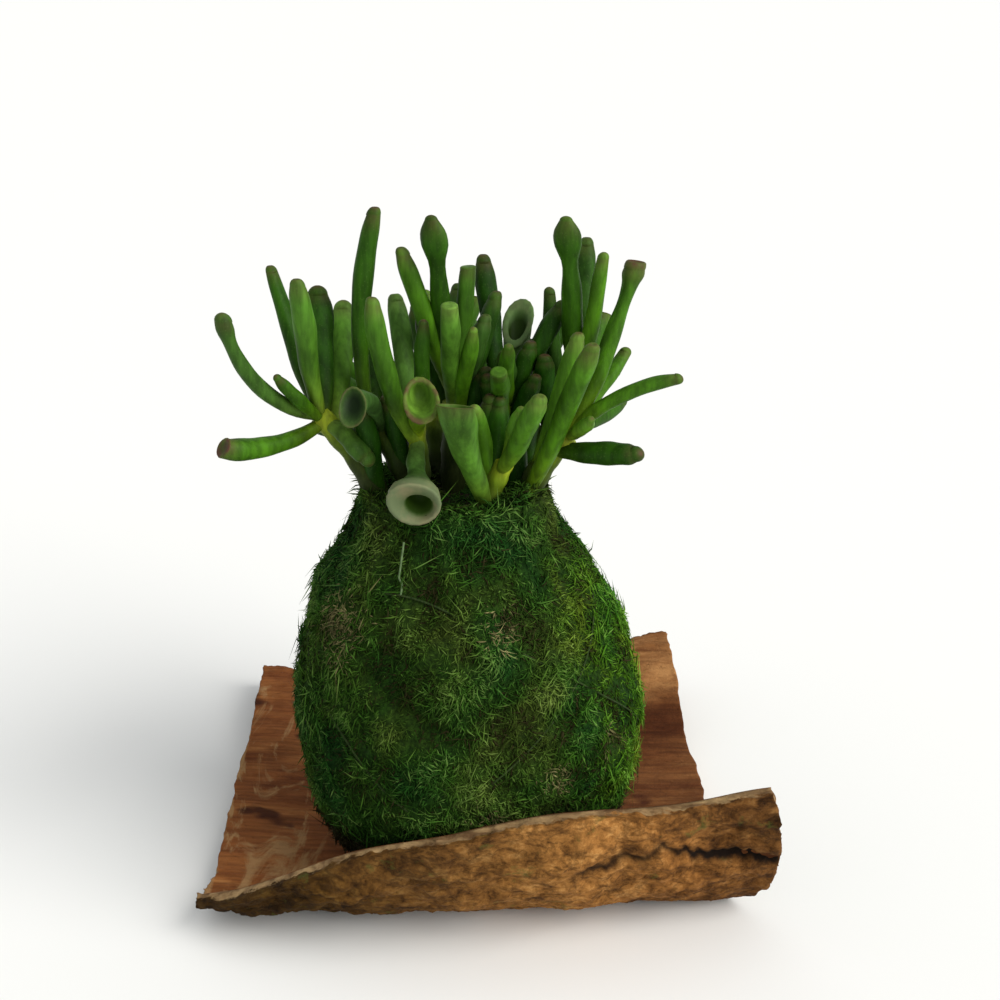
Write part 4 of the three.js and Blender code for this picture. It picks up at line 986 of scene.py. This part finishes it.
def stem_rings(foot, crown, radius):
    """Rings of a stem from its foot in the soil to its crown, a little thicker at each node where
    leaves grew."""
    t = np.linspace(0, 1, STEM_RINGS)[:, None]
    line = stem_line(foot, crown, t)
    ahead = unit(np.gradient(line, axis=0))
    side = unit(np.stack([ahead[:, 2], 0 * ahead[:, 0], -ahead[:, 0]], -1))
    normal = np.cross(ahead, side)
    nodes = 1 + 0.06 * np.cos(t[:, 0] * 32) + 0.05 * np.sin(t[:, 0] * 13 + foot[0])
    width = radius * (1 - 0.15 * t[:, 0]) * nodes
    turn = np.linspace(0, FULL_TURN, STEM_SIDES, endpoint=False)[None, :, None]
    offset = side[:, None] * np.cos(turn) + normal[:, None] * np.sin(turn)
    points = line[:, None] + offset * width[:, None, None]
    return points, line[0] - [0, 0, 0.5], line[-1] + ahead[-1] * 1.5, t[:, 0]


def leaf_material():
    """Waxy green skin: yellow at the foot of a leaf, deep green along it, reddish brown round the
    rim, painted shade down in the cup, grey where the wax is thick, buff where an old leaf has
    dried, and dark cork low on the stem, partly painted shade. Fine pale dots lie under the skin.
    The lengthwise streaks are partly the skin's own and partly painted highlight, and each leaf's
    brightness is partly its own green and partly painted light and shade."""
    material, tree, shader = new_material("leaf", 0.52, 0.09)
    along, tone = kept_value(tree, "along"), kept_value(tree, "tone")
    dark = ramp(tree, along, (0.0, (0.05, 0.08, 0.004)), (0.14, (0.014, 0.044, 0.002)),
                (0.4, (0.009, 0.042, 0.001)), (0.85, (0.012, 0.05, 0.002)),
                (1.0, (0.022, 0.055, 0.004)))
    bright = ramp(tree, along, (0.0, (0.22, 0.27, 0.015)), (0.16, (0.13, 0.23, 0.006)),
                  (0.42, (0.074, 0.2, 0.006)), (0.85, (0.07, 0.195, 0.009)),
                  (1.0, (0.11, 0.21, 0.025)))
    colour = blend_colour(tree, tone, dark, bright)
    colour = blend_colour(tree, kept_value(tree, "wax"), colour, (0.064, 0.13, 0.034))
    clouds = ramp(tree, noise(tree, 120, (1, 1, 0.5), 4), (0.3, 0.58), (0.7, 1.42))
    colour = times(tree, colour, clouds)
    # Lengthwise streaks, partly the skin's own and partly painted highlight.
    streaks = ramp(tree, noise(tree, 420, (1, 1, 0.14), 3), (0.38, 0.76), (0.64, 1.28))
    colour = times(tree, colour, streaks)
    place = node(tree, "ShaderNodeTexCoord").outputs["Object"]
    dots = node(tree, "ShaderNodeTexVoronoi", {"Vector": place, "Scale": 1200}).outputs["Distance"]
    pale = ramp(tree, dots, (0.1, 0.22), (0.26, 0.0))
    colour = blend_colour(tree, pale, colour, (0.12, 0.2, 0.05))
    worn = ramp(tree, noise(tree, 300, (1, 1, 1), 3), (0.35, 0.35), (0.6, 1.0))
    rim = times(tree, kept_value(tree, "rim"), worn)
    colour = blend_colour(tree, rim, colour, (0.09, 0.043, 0.026))
    parched = ramp(tree, noise(tree, 110, (1, 1, 1), 5), (0.44, (0.13, 0.165, 0.08)),
                   (0.66, (0.24, 0.21, 0.115)))
    colour = blend_colour(tree, kept_value(tree, "dry"), colour, parched)
    # Painted shade: the inside of a hollow tip is painted dark.
    inside = blend_colour(tree, tone, (0.004, 0.012, 0.002), (0.038, 0.085, 0.004))
    colour = blend_colour(tree, kept_value(tree, "hollow"), colour, inside)
    # Dark cork low on the stem, partly its own colour and partly painted shade among the leaves.
    cork = ramp(tree, noise(tree, 240, (1, 1, 0.4), 6, 0.7), (0.35, (0.007, 0.013, 0.003)),
                (0.65, (0.03, 0.042, 0.01)))
    colour = blend_colour(tree, kept_value(tree, "wood"), colour, cork)
    tree.links.new(colour, shader.inputs["Base Color"])
    skin = bump(tree, shader, dots, 0.1, 0.12)
    bump(tree, shader, noise(tree, 210, (1, 1, 0.6), 4), 0.25, 0.7, skin)
    return material


def make_leafy_stem(name, foot, crown, radius, brightness, leaves, finish, seed):
    """One stem with its leaves. The kept numbers say where along a leaf a point is, how bright and
    how grey the leaf is, and whether it is rim, hollow, dry or woody. How bright is partly painted
    light and shade, the hollow is painted shade, and the woody part is partly painted shade."""
    draw = np.random.default_rng(seed)
    points, low_end, high_end, t = stem_rings(foot, crown, radius)
    every, walls, fans = close_round(points, low_end, high_end)
    none = np.zeros(len(every))
    wood = np.append(np.repeat(0.95 * (1 - ease(t, 0.45, 0.95)), STEM_SIDES), [0.95, 0])
    lit = np.append(np.repeat(brightness + 0.35 * ease(t, 0.7, 1), STEM_SIDES), [brightness, 1])
    young = np.append(np.repeat(0.12 * (1 - ease(t, 0.75, 1)), STEM_SIDES), [0.12, 0])
    kept = {"along": [young], "tone": [np.clip(lit, 0, 1)], "wax": [none], "rim": [none],
            "hollow": [none], "dry": [none], "wood": [wood]}
    all_points, all_walls, all_fans, start = [every], [walls], [fans], len(every)
    for at, heading, rise, length, bow, form, *shade in leaves:
        tone, wax = shade or (np.clip(brightness + draw.normal(0, 0.13), 0, 1), 0)
        twist = draw.uniform(0, FULL_TURN)
        base = stem_line(foot, crown, at)
        made = leaf_rings(base, heading, rise, length, bow, form, twist)
        rings, first, last, share, rim, hollow = made
        every, walls, fans = close_round(rings, first, last)
        dry = DRY_LEAVES.get(form, 0) * ease(share, 0.6, 1.0) * (1 - hollow)
        rim = rim * draw.uniform(0.7, 1.0) * (1 - 0.8 * wax)
        rows = {"along": share * min(1, length / YELLOW_UNDER), "rim": rim, "hollow": hollow,
                "dry": dry, "tone": tone + 0 * share, "wax": wax + 0 * share, "wood": 0 * share}
        for key, row in rows.items():
            kept[key].append(np.append(np.repeat(row, LEAF_SIDES), [row[0], row[-1]]))
        all_points.append(every)
        all_walls.append(walls + start)
        all_fans.append(fans + start)
        start += len(every)
    points = np.concatenate(all_points)
    faces = [np.concatenate(all_walls), np.concatenate(all_fans)]
    kept = {key: np.concatenate(value) for key, value in kept.items()}
    return make_piece(name.replace("stem", "leafy_stem"), points, faces, finish, **kept)


leaf_finish = leaf_material()
for seed, (name, stem) in enumerate(STEMS.items(), 60):
    piece = make_leafy_stem(name, *stem, leaf_finish, seed)
    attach(piece, "root")
    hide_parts(name)

# Table top: a plain pale surface under the bark, not part of the plant.

TABLE_HALF = 6000.0


def make_floor():
    """A flat square at table height."""
    material, tree, shader = new_material("table_top", 0.85, 0.2)
    shader.inputs["Base Color"].default_value = (0.86, 0.86, 0.85, 1)
    corners = TABLE_HALF * np.array([[-1, -1, 0], [1, -1, 0], [1, 1, 0], [-1, 1, 0]])
    return make_piece("table_top", corners, [np.array([[0, 1, 2, 3]])], material)


floor = make_floor()

# Light: soft daylight all round and one broad lamp from the upper right, a little to the front.

world = bpy.data.worlds.new("daylight")
bpy.context.scene.world = world
world.use_nodes = True
world.node_tree.nodes["Background"].inputs["Color"].default_value = (0.97, 0.99, 1.0, 1)
world.node_tree.nodes["Background"].inputs["Strength"].default_value = 0.62


def add_sun(name, way, spread, strength, colour):
    """A lamp as even as daylight through a wide window, which shines from the given way."""
    data = bpy.data.lights.new(name, "SUN")
    data.angle, data.energy, data.color = math.radians(spread), strength, colour
    lamp = bpy.data.objects.new(name, data)
    bpy.context.scene.collection.objects.link(lamp)
    towards = -np.array(way, float) / np.linalg.norm(way)
    lamp.rotation_euler = (math.acos(-towards[2]), 0, math.atan2(-towards[0], towards[1]))
    return lamp


add_sun("window_light", (0.9, -0.55, 0.72), 50, 3.3, (1.0, 0.98, 0.93))

# Camera: in front of the plant and above it, looking down at 20 degrees, as in the photo.

CAMERA_PLACE, LOOKING_DOWN = (9.54, -453.82, 288.35), 20

camera_data = bpy.data.cameras.new("camera")
camera_data.lens, camera_data.sensor_width = 57.6, 36
camera = bpy.data.objects.new("camera", camera_data)
bpy.context.scene.collection.objects.link(camera)
camera.location = (np.array(CAMERA_PLACE) + BALL_AXIS / MM) * MM
camera.rotation_euler = (math.radians(90 - LOOKING_DOWN), 0, 0)
bpy.context.scene.camera = camera
bpy.context.scene.view_settings.view_transform = "Standard"
